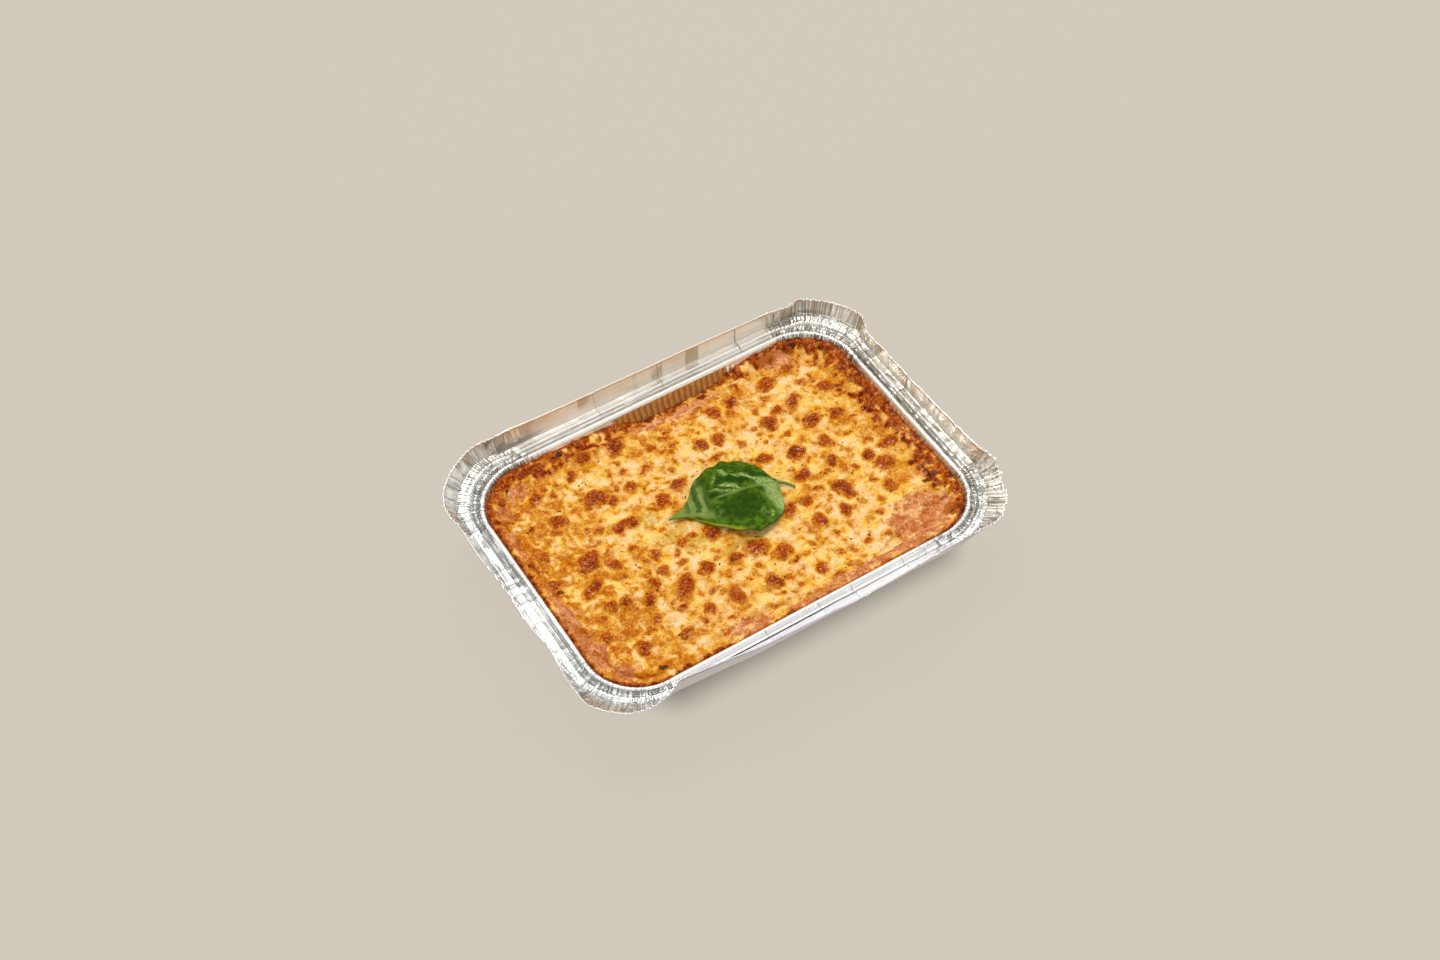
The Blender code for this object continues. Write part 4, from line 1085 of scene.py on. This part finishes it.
def baked_top_material(settings):
    """Melted cheese that browns by one measure of doneness, over creamy tomato sauce."""
    g = Graph("baked_cheese_top")
    speck = g.noise(1.0, 2.0, 0.6)
    small = g.noise(2.2, 3.0, 0.6)
    wide = g.noise(7.0, 3.0, 0.55)
    bake = g.painted("bake")
    browned = bake.ramp(0.28, 0.55)
    mid = g.noise(4.2, 3.0, 0.55, (1, 1, 1), 0.6)
    done = bake + (small - 0.5) * 0.21 + (speck - 0.5) * (0.50 + 0.55 * browned)
    done = done + (mid - 0.5) * 0.22 + (wide - 0.5) * 0.24
    colour = g.ramp_of(done, BAKING)
    buttery = (g.noise(9.0, 3.0, 0.6, (1, 1, 1), 0.8) * 0.6 + mid * 0.4).ramp(0.42, 0.58)
    # Painted sheen: light orange speckles on the browned blisters, in place of glints
    painted_sheen = g.noise(1.2, 2.0, 0.6).ramp(0.56, 0.66) * browned * (1.0 - bake.ramp(0.80, 0.95))
    colour = g.mix(painted_sheen * 0.50, colour, (0.80, 0.36, 0.13))
    colour = g.mix(buttery, colour, (1.0, 0.97, 0.48), "MULTIPLY")
    olive = g.noise(3.3, 2.0, 0.6, (1, 1.4, 1)).ramp(0.60, 0.70) * (1.0 - browned)
    colour = g.mix(olive * 0.42, colour, (0.27, 0.165, 0.016))
    # Painted shade and green light reflected from the basil leaf, in patches beside and under it
    colour = g.mix(g.painted("olive") * 0.65 * small.ramp(0.30, 0.55) * (1.0 - browned), colour,
                   (0.50, 0.32, 0.030))
    sauce_share = (g.painted("sauce") + (small - 0.5) * 1.2 + (wide - 0.5) * 1.3).ramp(0.25, 0.80)
    sauce_share = sauce_share * (1.0 - mid.ramp(0.54, 0.64) * 0.55)
    sauce_tone = g.mix((small * 0.7 + wide * 0.3).ramp(0.40, 0.60), settings.sauce, (0.52, 0.150, 0.028))
    sauce_tone = g.mix((mid * 0.5 + small * 0.3 + speck * 0.2).ramp(0.50, 0.55) * 0.92, sauce_tone,
                       (0.87, 0.53, 0.29))
    sauce_tone = g.mix((small * 0.6 + speck * 0.4).ramp(0.53, 0.60) * 0.90, sauce_tone, (0.38, 0.085, 0.012))
    strings = g.noise(5.5, 4.0, 0.6, (1, 1, 1), 1.5).near(0.5, 0.0, 0.05)
    sauce_tone = g.mix(strings * wide.ramp(0.4, 0.6) * 0.70, sauce_tone, (0.44, 0.105, 0.018))
    sauce_tone = g.mix((done - 0.30).ramp(0.05, 0.40), sauce_tone, settings.toast)
    threads = g.noise(7.0, 5.0, 0.62, (1, 1, 1), 1.0).near(0.5, 0.0, 0.028)
    colour = g.mix(threads * small.ramp(0.42, 0.56) * 0.60, colour, (0.36, 0.150, 0.018))
    colour = g.mix(sauce_share, colour, sauce_tone)
    burnt = (g.painted("burnt") + (speck - 0.5) * 0.6 + (small - 0.5) * 0.5).ramp(0.35, 0.75)
    colour = g.mix(burnt * 0.9, colour, (0.050, 0.014, 0.006))
    normal = g.bump(small, 0.55, 0.6)
    normal = g.bump(speck, 0.45, 0.30, normal)
    normal = g.bump(speck * browned, 0.9, 0.55, normal)
    oily = (0.03 + 0.45 * browned) * g.noise(1.6, 2.0).ramp(0.52, 0.60)
    return g.finish(Base_Color=colour, Roughness=0.55, Normal=normal, Coat_Weight=oily,
                    Coat_Roughness=0.20, Specular_IOR_Level=0.02)


def build_cheese(settings, material):
    _, _, _, rim_z = tray_sizes()
    spacing = settings.spacing / MM
    station, outline = cheese_edge(0.9)
    _, guard = cheese_edge(0.9 - spacing * 0.7)
    gx, gy = grid_points(spacing, settings.seed)
    keep = inside_loop(gx, gy, guard)
    points, faces, source = triangles([outline], np.stack([gx[keep], gy[keep]], 1))
    x, y = points[:, 0], points[:, 1]
    at, inside = edge_place(x, y)
    spots = scattered_blisters(settings)
    height, brown = blister_fields(x, y, spots)
    # Painted light and shade: blisters browned less on their far slopes and more on their near slopes
    brown = brown * (1 + 0.30 * blister_slope_shading(x, y, spots))
    level = cheese_level(x, y, at, inside, height) + fine_relief(x, y)
    outline_at = wall_offset(-6.0) - 0.85 - table(CHEESE_MARGIN, at)
    to_edge = inside + outline_at
    sauce_z = sauce_level(x, y, at, inside) + 0.8 * fine_relief(x, y)
    blend = smooth((to_edge + 1.2) / 3.4)
    level = sauce_z + (level - sauce_z) * blend
    rim = np.array([s < len(outline) for s in source])
    level = np.where(rim, np.minimum(level, sauce_z) - 0.7, level)
    count = len(outline)
    order = {s: k for k, s in enumerate(source)}
    low = np.column_stack([outline, np.full(count, rim_z + FOOD_SEAT_Z + 0.3)])
    top = np.column_stack([x, y, level + rim_z])
    verts = np.concatenate([low, top])
    loop = [order[k] + count for k in range(count)]
    all_faces = [list(range(count))[::-1]]
    all_faces += [[k, (k + 1) % count, loop[(k + 1) % count], loop[k]] for k in range(count)]
    all_faces += [[v + count for v in face] for face in faces]
    paints = after_foot(browning(x, y, at, inside, brown), count)
    return make_piece("melted_cheese", verts, all_faces, material, paints)


def build_sauce(settings, material):
    """Filling body: flat foot, sides that lean out with the wall, and sauce that shows at the edge."""
    _, _, _, rim_z = tray_sizes()
    spacing = settings.spacing / MM * 1.1
    _, seat = cheese_edge(-2.6)
    _, step = cheese_edge(-1.8)
    count = len(seat)
    station, _ = cheese_edge(0.0)
    wavy = flat_grain(*loop_points(0.0, station), 1.9, 9.0) * 1.3
    edge_z = table(FOOD_EDGE_Z, station) + wavy
    flutes = flute_wave(station) * bare_wall(station) * bpy.context.scene.lasagne_tray.flute_depth / MM
    crown = np.stack(loop_points(wall_offset(edge_z) + flutes - 0.06, station), 1)
    crown_in = np.stack(loop_points(wall_offset(edge_z) + 0.4 * flutes - 0.85, station), 1)
    gx, gy = grid_points(spacing, settings.seed + 1)
    guard = np.stack(loop_points(wall_offset(edge_z) - 1.3, station), 1)
    _, step_guard = cheese_edge(-1.5)
    keep = inside_loop(gx, gy, guard) & ~inside_loop(gx, gy, step_guard)
    points, faces, source = triangles([crown, crown_in, step, seat],
                                      np.stack([gx[keep], gy[keep]], 1))
    x, y = points[:, 0], points[:, 1]
    at, inside = edge_place(x, y)
    level = sauce_level(x, y, at, inside) + 0.8 * fine_relief(x, y)
    _, brown = blister_fields(x, y, scattered_blisters(settings))
    source = np.array(source)
    level = np.where(source < count, edge_z[np.minimum(source, count - 1)] - 0.35, level)
    level = np.where(source // count == 3, FOOD_SEAT_Z, level)
    top = np.column_stack([x, y, level + rim_z])
    foot = ring_points(-16.6, station, 0.65)
    knee = ring_points(WALL_FOOT[0] - 1.1, station, rim_z + WALL_FOOT[1])
    verts = np.concatenate([foot, knee, top])
    order = {s: k for k, s in enumerate(source)}
    loop = [order[k] + 2 * count for k in range(count)]
    all_faces = [list(range(count))[::-1]]
    all_faces += ring_faces(0, count, count)
    all_faces += [[count + k, count + (k + 1) % count, loop[(k + 1) % count], loop[k]]
                  for k in range(count)]
    all_faces += [[v + 2 * count for v in face] for face in faces]
    paints = after_foot(browning(x, y, at, inside, brown), 2 * count)
    return make_piece("tomato_sauce_filling", verts, all_faces, material, paints)


# ---- Herb flecks ----

def herb_tree():
    """Geometry Nodes that strew small bent flakes over a surface."""
    tree = bpy.data.node_groups.new("herb_flecks", "GeometryNodeTree")
    for name, kind, direction in (("Geometry", "NodeSocketGeometry", "INPUT"),
                                  ("Density", "NodeSocketFloat", "INPUT"),
                                  ("Flake size", "NodeSocketFloat", "INPUT"),
                                  ("Seed", "NodeSocketInt", "INPUT"),
                                  ("Material", "NodeSocketMaterial", "INPUT"),
                                  ("Geometry", "NodeSocketGeometry", "OUTPUT")):
        tree.interface.new_socket(name=name, in_out=direction, socket_type=kind)

    def add(kind, values=None, settings=None):
        return add_node(tree, kind, settings, values)

    source = add("NodeGroupInput").outputs
    spread = add("GeometryNodeDistributePointsOnFaces",
                 {"Mesh": source["Geometry"], "Density": source["Density"], "Seed": source["Seed"]})
    flake = add("GeometryNodeMeshUVSphere", {"Segments": 6, "Rings": 4, "Radius": 1.0})
    size = add("FunctionNodeRandomValue", {"Seed": source["Seed"]}, {"data_type": "FLOAT_VECTOR"})
    size.inputs[0].default_value = (0.35, 0.18, 0.10)
    size.inputs[1].default_value = (1.0, 0.45, 0.22)
    turn = add("FunctionNodeRandomValue", {"Seed": source["Seed"]}, {"data_type": "FLOAT_VECTOR"})
    turn.inputs[0].default_value = (-0.25, -0.25, 0.0)
    turn.inputs[1].default_value = (0.25, 0.25, math.tau)
    scaled = add("ShaderNodeVectorMath", {0: size.outputs[0], "Scale": source["Flake size"]},
                 {"operation": "SCALE"})
    strewn = add("GeometryNodeInstanceOnPoints",
                 {"Points": spread.outputs["Points"], "Instance": flake.outputs["Mesh"],
                  "Rotation": turn.outputs[0], "Scale": scaled.outputs[0]})
    real = add("GeometryNodeRealizeInstances", {"Geometry": strewn.outputs[0]})
    dyed = add("GeometryNodeSetMaterial",
               {"Geometry": real.outputs[0], "Material": source["Material"]})
    add("NodeGroupOutput", {0: dyed.outputs[0]})
    return tree


def strew_herbs(settings, material):
    """Flecks strewn over a coarse copy of the baked surface, made one plain mesh."""
    _, _, _, rim_z = tray_sizes()
    _, outline = cheese_edge(-1.5)
    gx, gy = grid_points(3.0, 3)
    _, guard = cheese_edge(-3.0)
    keep = inside_loop(gx, gy, guard) & (under_leaf(gx, gy) < 0.6)
    points, faces, _ = triangles([outline], np.stack([gx[keep], gy[keep]], 1))
    x, y = points[:, 0], points[:, 1]
    at, inside = edge_place(x, y)
    height, _ = blister_fields(x, y, scattered_blisters(settings))
    level = cheese_level(x, y, at, inside, height) + 0.05
    carrier = make_piece("herb_carrier", np.column_stack([x, y, level + rim_z]), faces, material)
    tree = herb_tree()
    sockets = {item.name: item.identifier for item in tree.interface.items_tree
               if item.in_out == "INPUT"}
    modifier = carrier.modifiers.new("herbs", "NODES")
    modifier.node_group = tree
    modifier[sockets["Density"]] = settings.herb_count / HERB_AREA
    modifier[sockets["Flake size"]] = FLAKE_MM * MM
    modifier[sockets["Seed"]] = settings.seed
    modifier[sockets["Material"]] = material
    evaluated = carrier.evaluated_get(bpy.context.evaluated_depsgraph_get())
    mesh = bpy.data.meshes.new_from_object(evaluated)
    flecks = bpy.data.objects.new("herb_flecks", mesh)
    bpy.context.scene.collection.objects.link(flecks)
    bpy.data.objects.remove(carrier, do_unlink=True)
    mesh.shade_smooth()
    return flecks


def herb_material(settings):
    g = Graph("dried_herb")
    colour = g.mix(g.noise(2.0).ramp(0.35, 0.65), settings.herb, [c * 0.35 for c in settings.herb])
    return g.finish(Base_Color=colour, Roughness=0.8, Specular_IOR_Level=0.0)


# ---- Basil leaf ----

def leaf_height(along, across):
    """Middle surface of the blade: a dome with one hollow half and wavy edges."""
    lift = 1.1 + 4.0 * np.sin(np.pi * np.clip(along, 0, 1) ** 0.8) ** 0.9
    droop = 2.0 * np.abs(across) ** 2.2
    upper = 1.3 * np.sin(np.pi * across) * np.sin(np.pi * np.clip(along, 0, 1))
    lower = -1.4 * np.sin(-np.pi * across) * smooth(1.2 - along)
    body = np.where(across > 0, upper, lower)
    wave = 0.55 * np.sin(11 * along + 2.4 * across) * np.abs(across)
    fold = -1.5 * smooth((along - 0.62) * 6) * smooth((1 - along) * 5)
    return LEAF_LOW + lift - droop + body + wave + fold


def build_leaf(material):
    _, _, _, rim_z = tray_sizes()
    fx, fy = LEAF_FOOT
    tx, ty = LEAF_TIP
    length = math.hypot(tx - fx, ty - fy)
    dx, dy = (tx - fx) / length, (ty - fy) / length
    rows = []
    for k in np.linspace(1, 0.12, 14):
        run = STEM_LENGTH * k
        bend = STEM_TURN * (0.55 + 0.45 * k)
        half_stem = STEM_HALF * (1.25 - 0.5 * k)
        rows.append((fx + math.cos(bend) * run + 0.4, fy + math.sin(bend) * run,
                     -math.cos(bend), -math.sin(bend), -0.03, half_stem, half_stem, -0.5 * k))
    blade = -0.03 + 1.03 * (1 - np.cos(np.linspace(0, math.pi, 90))) / 2
    for a in blade:
        rows.append((fx + dx * length * a, fy + dy * length * a, dx, dy, a,
                     float(table(LEAF_UPPER, a)), float(table(LEAF_LOWER, a)), 0.0))
    rows = np.array(rows)
    half = 40
    v = np.linspace(-1, 1, 2 * half + 1)[None, :]
    px, py, ax, ay, a, wide_up, wide_low, drop = (rows[:, k:k + 1] for k in range(8))
    reach = np.where(v > 0, wide_up, wide_low) * v
    notch = 1 + 0.02 * np.sin(a * 40) * np.abs(v) ** 4
    x = px + ay * reach * notch
    y = py - ax * reach * notch
    shape = v * np.minimum(1.0, (wide_up + wide_low) / 12)
    z = leaf_height(a + 0 * v, shape) + drop
    blade_share = smooth((wide_up + wide_low - 2) / 10)
    ripple_left = smooth((a - 0.55) / 0.12) * smooth((0.97 - a) / 0.1) * smooth((v + 0.9) / 0.3)
    z = z + blade_share * ripple_left * 0.42 * np.sin(a * 62 + 2.2 * v)
    crumple = smooth((a - 0.12) / 0.15) * smooth((0.62 - a) / 0.1) * smooth((v - 0.02) / 0.2)
    lumps = flat_grain(x, y * 1.6, 5.2, 3.3)
    z = z + blade_share * crumple * (1.1 * lumps + 0.5 * (1 - 2 * np.abs(flat_grain(x, y, 4.0, 5.5))))
    z = z + blade_share * 0.25 * flat_grain(x, y, 7.0, 8.8)
    at, inside = edge_place(x.ravel(), y.ravel())
    plain = cheese_level(x.ravel(), y.ravel(), at, inside, 0.0).reshape(x.shape)
    z = np.maximum(z, plain + 0.9)
    vein = np.exp(-(np.abs(v * np.where(v > 0, wide_up, wide_low)) / 0.55) ** 2) * smooth((0.62 - a) / 0.1)
    side_phase = (a * 7.0 + np.abs(v) * 1.6)
    side = np.exp(-(np.abs((side_phase % 1) - 0.5) * length / 7.0 / 0.42) ** 2)
    side = side * smooth((0.95 - np.abs(v)) / 0.2) * smooth((np.abs(v) - 0.03) / 0.05)
    z = z - blade_share * 0.22 * vein - blade_share * 0.10 * side
    thick = 0.16 + 0.25 * (1 - blade_share)
    top = np.stack([x, y, z + rim_z + thick], -1).reshape(-1, 3)
    low = np.stack([x, y, z + rim_z - thick], -1).reshape(-1, 3)
    n_rows, n_cols = x.shape
    index = np.arange(n_rows * n_cols).reshape(n_rows, n_cols)
    quads = np.stack([index[:-1, :-1], index[:-1, 1:], index[1:, 1:], index[1:, :-1]], -1).reshape(-1, 4)
    total = n_rows * n_cols
    faces = quads.tolist() + (quads[:, ::-1] + total).tolist()
    rim = list(index[0, :]) + list(index[1:, -1]) + list(index[-1, -2::-1]) + list(index[-2:0:-1, 0])
    faces += [[rim[(k + 1) % len(rim)], rim[k], rim[k] + total, rim[(k + 1) % len(rim)] + total]
              for k in range(len(rim))]
    a_full = a + 0 * v
    pale = smooth((a_full - 0.60) / 0.08) * smooth((v + 0.85) / 0.3)
    pale = np.maximum(pale, smooth((0.16 - a_full) / 0.14) * smooth((-v + 0.1) / 0.2))
    yellow = smooth((-v - 0.86) / 0.10) * smooth((a_full - 0.42) / 0.06) * smooth((0.86 - a_full) / 0.06)
    stem = (1 - blade_share) + 0 * v
    # Painted shade in the hollows and painted highlights on the ridges, from the table of leaf shade and
    # highlights
    bend_x = x + 1.6 * flat_grain(x, y, 4.0, 6.1)
    bend_y = y + 1.6 * flat_grain(x, y, 4.0, 2.9)
    hollow = np.zeros_like(x)
    ridge = np.zeros_like(x)
    for tx, ty, long_half, wide_half, turn, tone in LEAF_SHADE_AND_HIGHLIGHTS:
        c, s = math.cos(math.radians(turn)), math.sin(math.radians(turn))
        gap = np.hypot(((bend_x - tx) * c + (bend_y - ty) * s) / long_half,
                       ((bend_y - ty) * c - (bend_x - tx) * s) / wide_half)
        spot = abs(tone) * smooth((1.35 - gap) / 0.6) * (a_full > 0.0)
        if tone < 0:
            hollow = np.maximum(hollow, spot)
        else:
            ridge = np.maximum(ridge, spot)
    # Painted shadows of the ripples on the blade's left part
    ripple = ripple_left * smooth(0.5 + 2.2 * np.sin(a * 62 + 2.2 * v + 1.5 * flat_grain(x, y, 6.0, 1.1)))
    hollow = np.maximum(hollow, 0.8 * ripple * smooth((v + 0.55) / 0.3))
    paints = {"pale": pale, "hollow": hollow, "yellow": yellow, "ridge": ridge,
              "vein": np.clip(vein * blade_share + stem, 0, 1), "side": side * blade_share}
    paints = {key: np.tile(np.ravel(value), 2) for key, value in paints.items()}
    return make_piece("basil_blade", np.concatenate([top, low]), faces, material, paints)


def leaf_material(settings):
    g = Graph("basil_leaf_green")
    small = g.noise(2.6, 3.0)
    fine = g.noise(1.0, 3.0, 0.6)
    colour = g.mix(small.ramp(0.38, 0.62) * 0.8, settings.blade, settings.deep)
    pale = (g.painted("pale") * (0.85 + 0.9 * (small - 0.5))).clamp()
    colour = g.mix(pale, colour, settings.pale)
    colour = g.mix(g.painted("side") * 0.30, colour, settings.vein)
    # Painted shade in the hollows and ripples
    colour = g.mix((g.painted("hollow") * (0.95 + 0.7 * (fine - 0.5))).clamp(), colour, settings.deep)
    # Painted highlights on the ridges
    colour = g.mix((g.painted("ridge") * fine.ramp(0.30, 0.60)).clamp(), colour, (0.36, 0.47, 0.16))
    colour = g.mix(g.painted("yellow") * 0.9, colour, settings.edge)
    colour = g.mix(g.painted("vein") * 0.85, colour, settings.vein)
    normal = g.bump(fine, 0.35, 0.25)
    return g.finish(Base_Color=colour, Roughness=0.40 + 0.15 * small, Normal=normal, Coat_Weight=0.02,
                    Coat_Roughness=0.12, Specular_IOR_Level=0.03)


# ---- Stage ----

def build_stage(settings):
    """Floor whose glow fades by the tray as a soft shadow, two soft lights, the room and the camera."""
    g = Graph("plain_floor")
    aside = g.vectors("ABSOLUTE", g.vectors("SUBTRACT", g.place(), (0.010, -0.010, 0)))
    past = g.vectors("MAXIMUM", g.vectors("SUBTRACT", aside, (0.068, 0.040, 0)), (0, 0, 0))
    shaded = g.vectors("LENGTH", past, output="Value").ramp(0.000, 0.023, 0.70, 0.0)
    floor_material = g.finish(Base_Color=settings.floor_colour, Roughness=0.9, Specular_IOR_Level=0.0,
                              Emission_Color=g.mix(shaded, settings.floor_glow, (0, 0, 0)),
                              Emission_Strength=1.0)
    mesh = bpy.data.meshes.new("floor")
    side = 6.0
    mesh.from_pydata([(-side, -side, 0), (side, -side, 0), (side, side, 0), (-side, side, 0)], [],
                     [(0, 1, 2, 3)])
    mesh.materials.append(floor_material)
    floor = bpy.data.objects.new("floor", mesh)
    bpy.context.scene.collection.objects.link(floor)

    for name, place, size, power, tint in (
            ("key", (-0.12, 0.36, 1.40), (0.30, 0.30), 0.75, (1.0, 0.99, 0.97)),
            ("side", (0.95, 0.55, 0.85), (0.25, 0.25), 0.25, (1.0, 1.0, 1.0))):
        data = bpy.data.lights.new(name, "AREA")
        data.shape = "RECTANGLE"
        data.size, data.size_y = size
        data.energy = settings.key_power * power
        data.color = tint
        light = bpy.data.objects.new(name, data)
        light.location = place
        aim = Vector((0, 0, 0.03)) - Vector(place)
        light.rotation_euler = aim.to_track_quat("-Z", "Y").to_euler()
        bpy.context.scene.collection.objects.link(light)

    g = Graph("soft_room", bpy.data.worlds)
    way = g.place("Generated")
    height = g.wire("ShaderNodeSeparateXYZ", {}, {0: way}, "Z")
    patch = g.wire("ShaderNodeTexNoise", {}, {
        "Vector": way, "Scale": 2.6, "Detail": 1.0, "Roughness": 0.4}, "Fac").ramp(0.42, 0.50)
    window = g.vectors("DOT_PRODUCT", way, (0.33, 0.52, 0.79), "Value").ramp(0.90, 0.955)
    lit_side = g.vectors("DOT_PRODUCT", way, (0.66, 0.59, 0.47), "Value").ramp(-0.5, 0.6, 0.80, 1.0)
    bright = ((0.50 + 0.50 * patch) * lit_side * (1.0 - window) + window).clamp()
    bright = bright * height.ramp(0.02, 0.25, 0.35, 1.0)
    room = g.mix(bright, settings.dark_room, settings.bright_room)
    world = g.finish(Color=room, Strength=settings.room_power)
    bpy.context.scene.world = world
    bpy.context.scene.view_settings.view_transform = "Standard"

    a, e = math.radians(settings.azimuth), math.radians(settings.elevation)
    backward = Vector((math.sin(a) * math.cos(e), -math.cos(a) * math.cos(e), math.sin(e)))
    target = Vector((0.00358, 0.01055, 0.035))
    data = bpy.data.cameras.new("photo_camera")
    data.lens = settings.lens
    data.sensor_width = 36.0
    data.clip_start = 0.01
    camera = bpy.data.objects.new("photo_camera", data)
    camera.location = target + backward * settings.distance
    camera.rotation_euler = backward.to_track_quat("Z", "Y").to_euler()
    bpy.context.scene.collection.objects.link(camera)
    bpy.context.scene.camera = camera


# ---- Operators ----

class LASAGNE_OT_tray(bpy.types.Operator):
    """Make the foil tray"""
    bl_idname = "lasagne.tray"
    bl_label = "Foil Tray"

    def execute(self, context):
        settings = context.scene.lasagne_tray
        verts, faces, paints = build_tray_mesh(settings)
        tray = make_piece("foil_container", verts, faces, foil_material(settings), paints)
        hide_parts("foil_tray")
        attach(tray, "root")
        return {"FINISHED"}


class LASAGNE_OT_food(bpy.types.Operator):
    """Make the sauce and the melted cheese"""
    bl_idname = "lasagne.food"
    bl_label = "Baked Food"

    def execute(self, context):
        settings = context.scene.lasagne_food
        material = baked_top_material(settings)
        sauce = build_sauce(settings, material)
        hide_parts("lasagne_filling")
        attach(sauce, "root")
        cheese = build_cheese(settings, material)
        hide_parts("cheese_topping")
        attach(cheese, "root")
        return {"FINISHED"}


class LASAGNE_OT_herbs(bpy.types.Operator):
    """Strew dried herb flecks over the cheese"""
    bl_idname = "lasagne.herbs"
    bl_label = "Herb Flecks"

    def execute(self, context):
        settings = context.scene.lasagne_food
        flecks = strew_herbs(settings, herb_material(settings))
        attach(flecks, "root")
        return {"FINISHED"}


class LASAGNE_OT_leaf(bpy.types.Operator):
    """Make the basil leaf"""
    bl_idname = "lasagne.leaf"
    bl_label = "Basil Leaf"

    def execute(self, context):
        leaf = build_leaf(leaf_material(context.scene.lasagne_leaf))
        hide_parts("basil_leaf")
        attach(leaf, "root")
        return {"FINISHED"}


class LASAGNE_OT_studio(bpy.types.Operator):
    """Make the floor, the lights and the camera"""
    bl_idname = "lasagne.studio"
    bl_label = "Studio"

    def execute(self, context):
        build_stage(context.scene.lasagne_studio)
        return {"FINISHED"}


class LASAGNE_PT_panel(bpy.types.Panel):
    """Lists the pieces of the meal"""
    bl_label = "Foil Tray Lasagne"
    bl_idname = "LASAGNE_PT_panel"
    bl_space_type = "VIEW_3D"
    bl_region_type = "UI"
    bl_category = "Lasagne"

    def draw(self, context):
        for group, operator in ((context.scene.lasagne_tray, "lasagne.tray"),
                                (context.scene.lasagne_food, "lasagne.food"),
                                (context.scene.lasagne_food, "lasagne.herbs"),
                                (context.scene.lasagne_leaf, "lasagne.leaf"),
                                (context.scene.lasagne_studio, "lasagne.studio")):
            box = self.layout.box()
            box.operator(operator)
            for name in group.bl_rna.properties.keys():
                if name not in ("rna_type", "name"):
                    box.prop(group, name)


GROUPS = (
    ("lasagne_tray", TraySettings),
    ("lasagne_food", FoodSettings),
    ("lasagne_leaf", LeafSettings),
    ("lasagne_studio", StudioSettings),
)
OPERATORS = (LASAGNE_OT_tray, LASAGNE_OT_food, LASAGNE_OT_herbs, LASAGNE_OT_leaf, LASAGNE_OT_studio)


def register():
    for name, group in GROUPS:
        bpy.utils.register_class(group)
        setattr(bpy.types.Scene, name, PointerProperty(type=group))
    for operator in OPERATORS:
        bpy.utils.register_class(operator)
    bpy.utils.register_class(LASAGNE_PT_panel)


def unregister():
    bpy.utils.unregister_class(LASAGNE_PT_panel)
    for operator in reversed(OPERATORS):
        bpy.utils.unregister_class(operator)
    for name, group in reversed(GROUPS):
        delattr(bpy.types.Scene, name)
        bpy.utils.unregister_class(group)


def main():
    register()
    bpy.ops.lasagne.tray()
    bpy.ops.lasagne.food()
    bpy.ops.lasagne.herbs()
    bpy.ops.lasagne.leaf()
    bpy.ops.lasagne.studio()


if __name__ == "__main__":
    main()
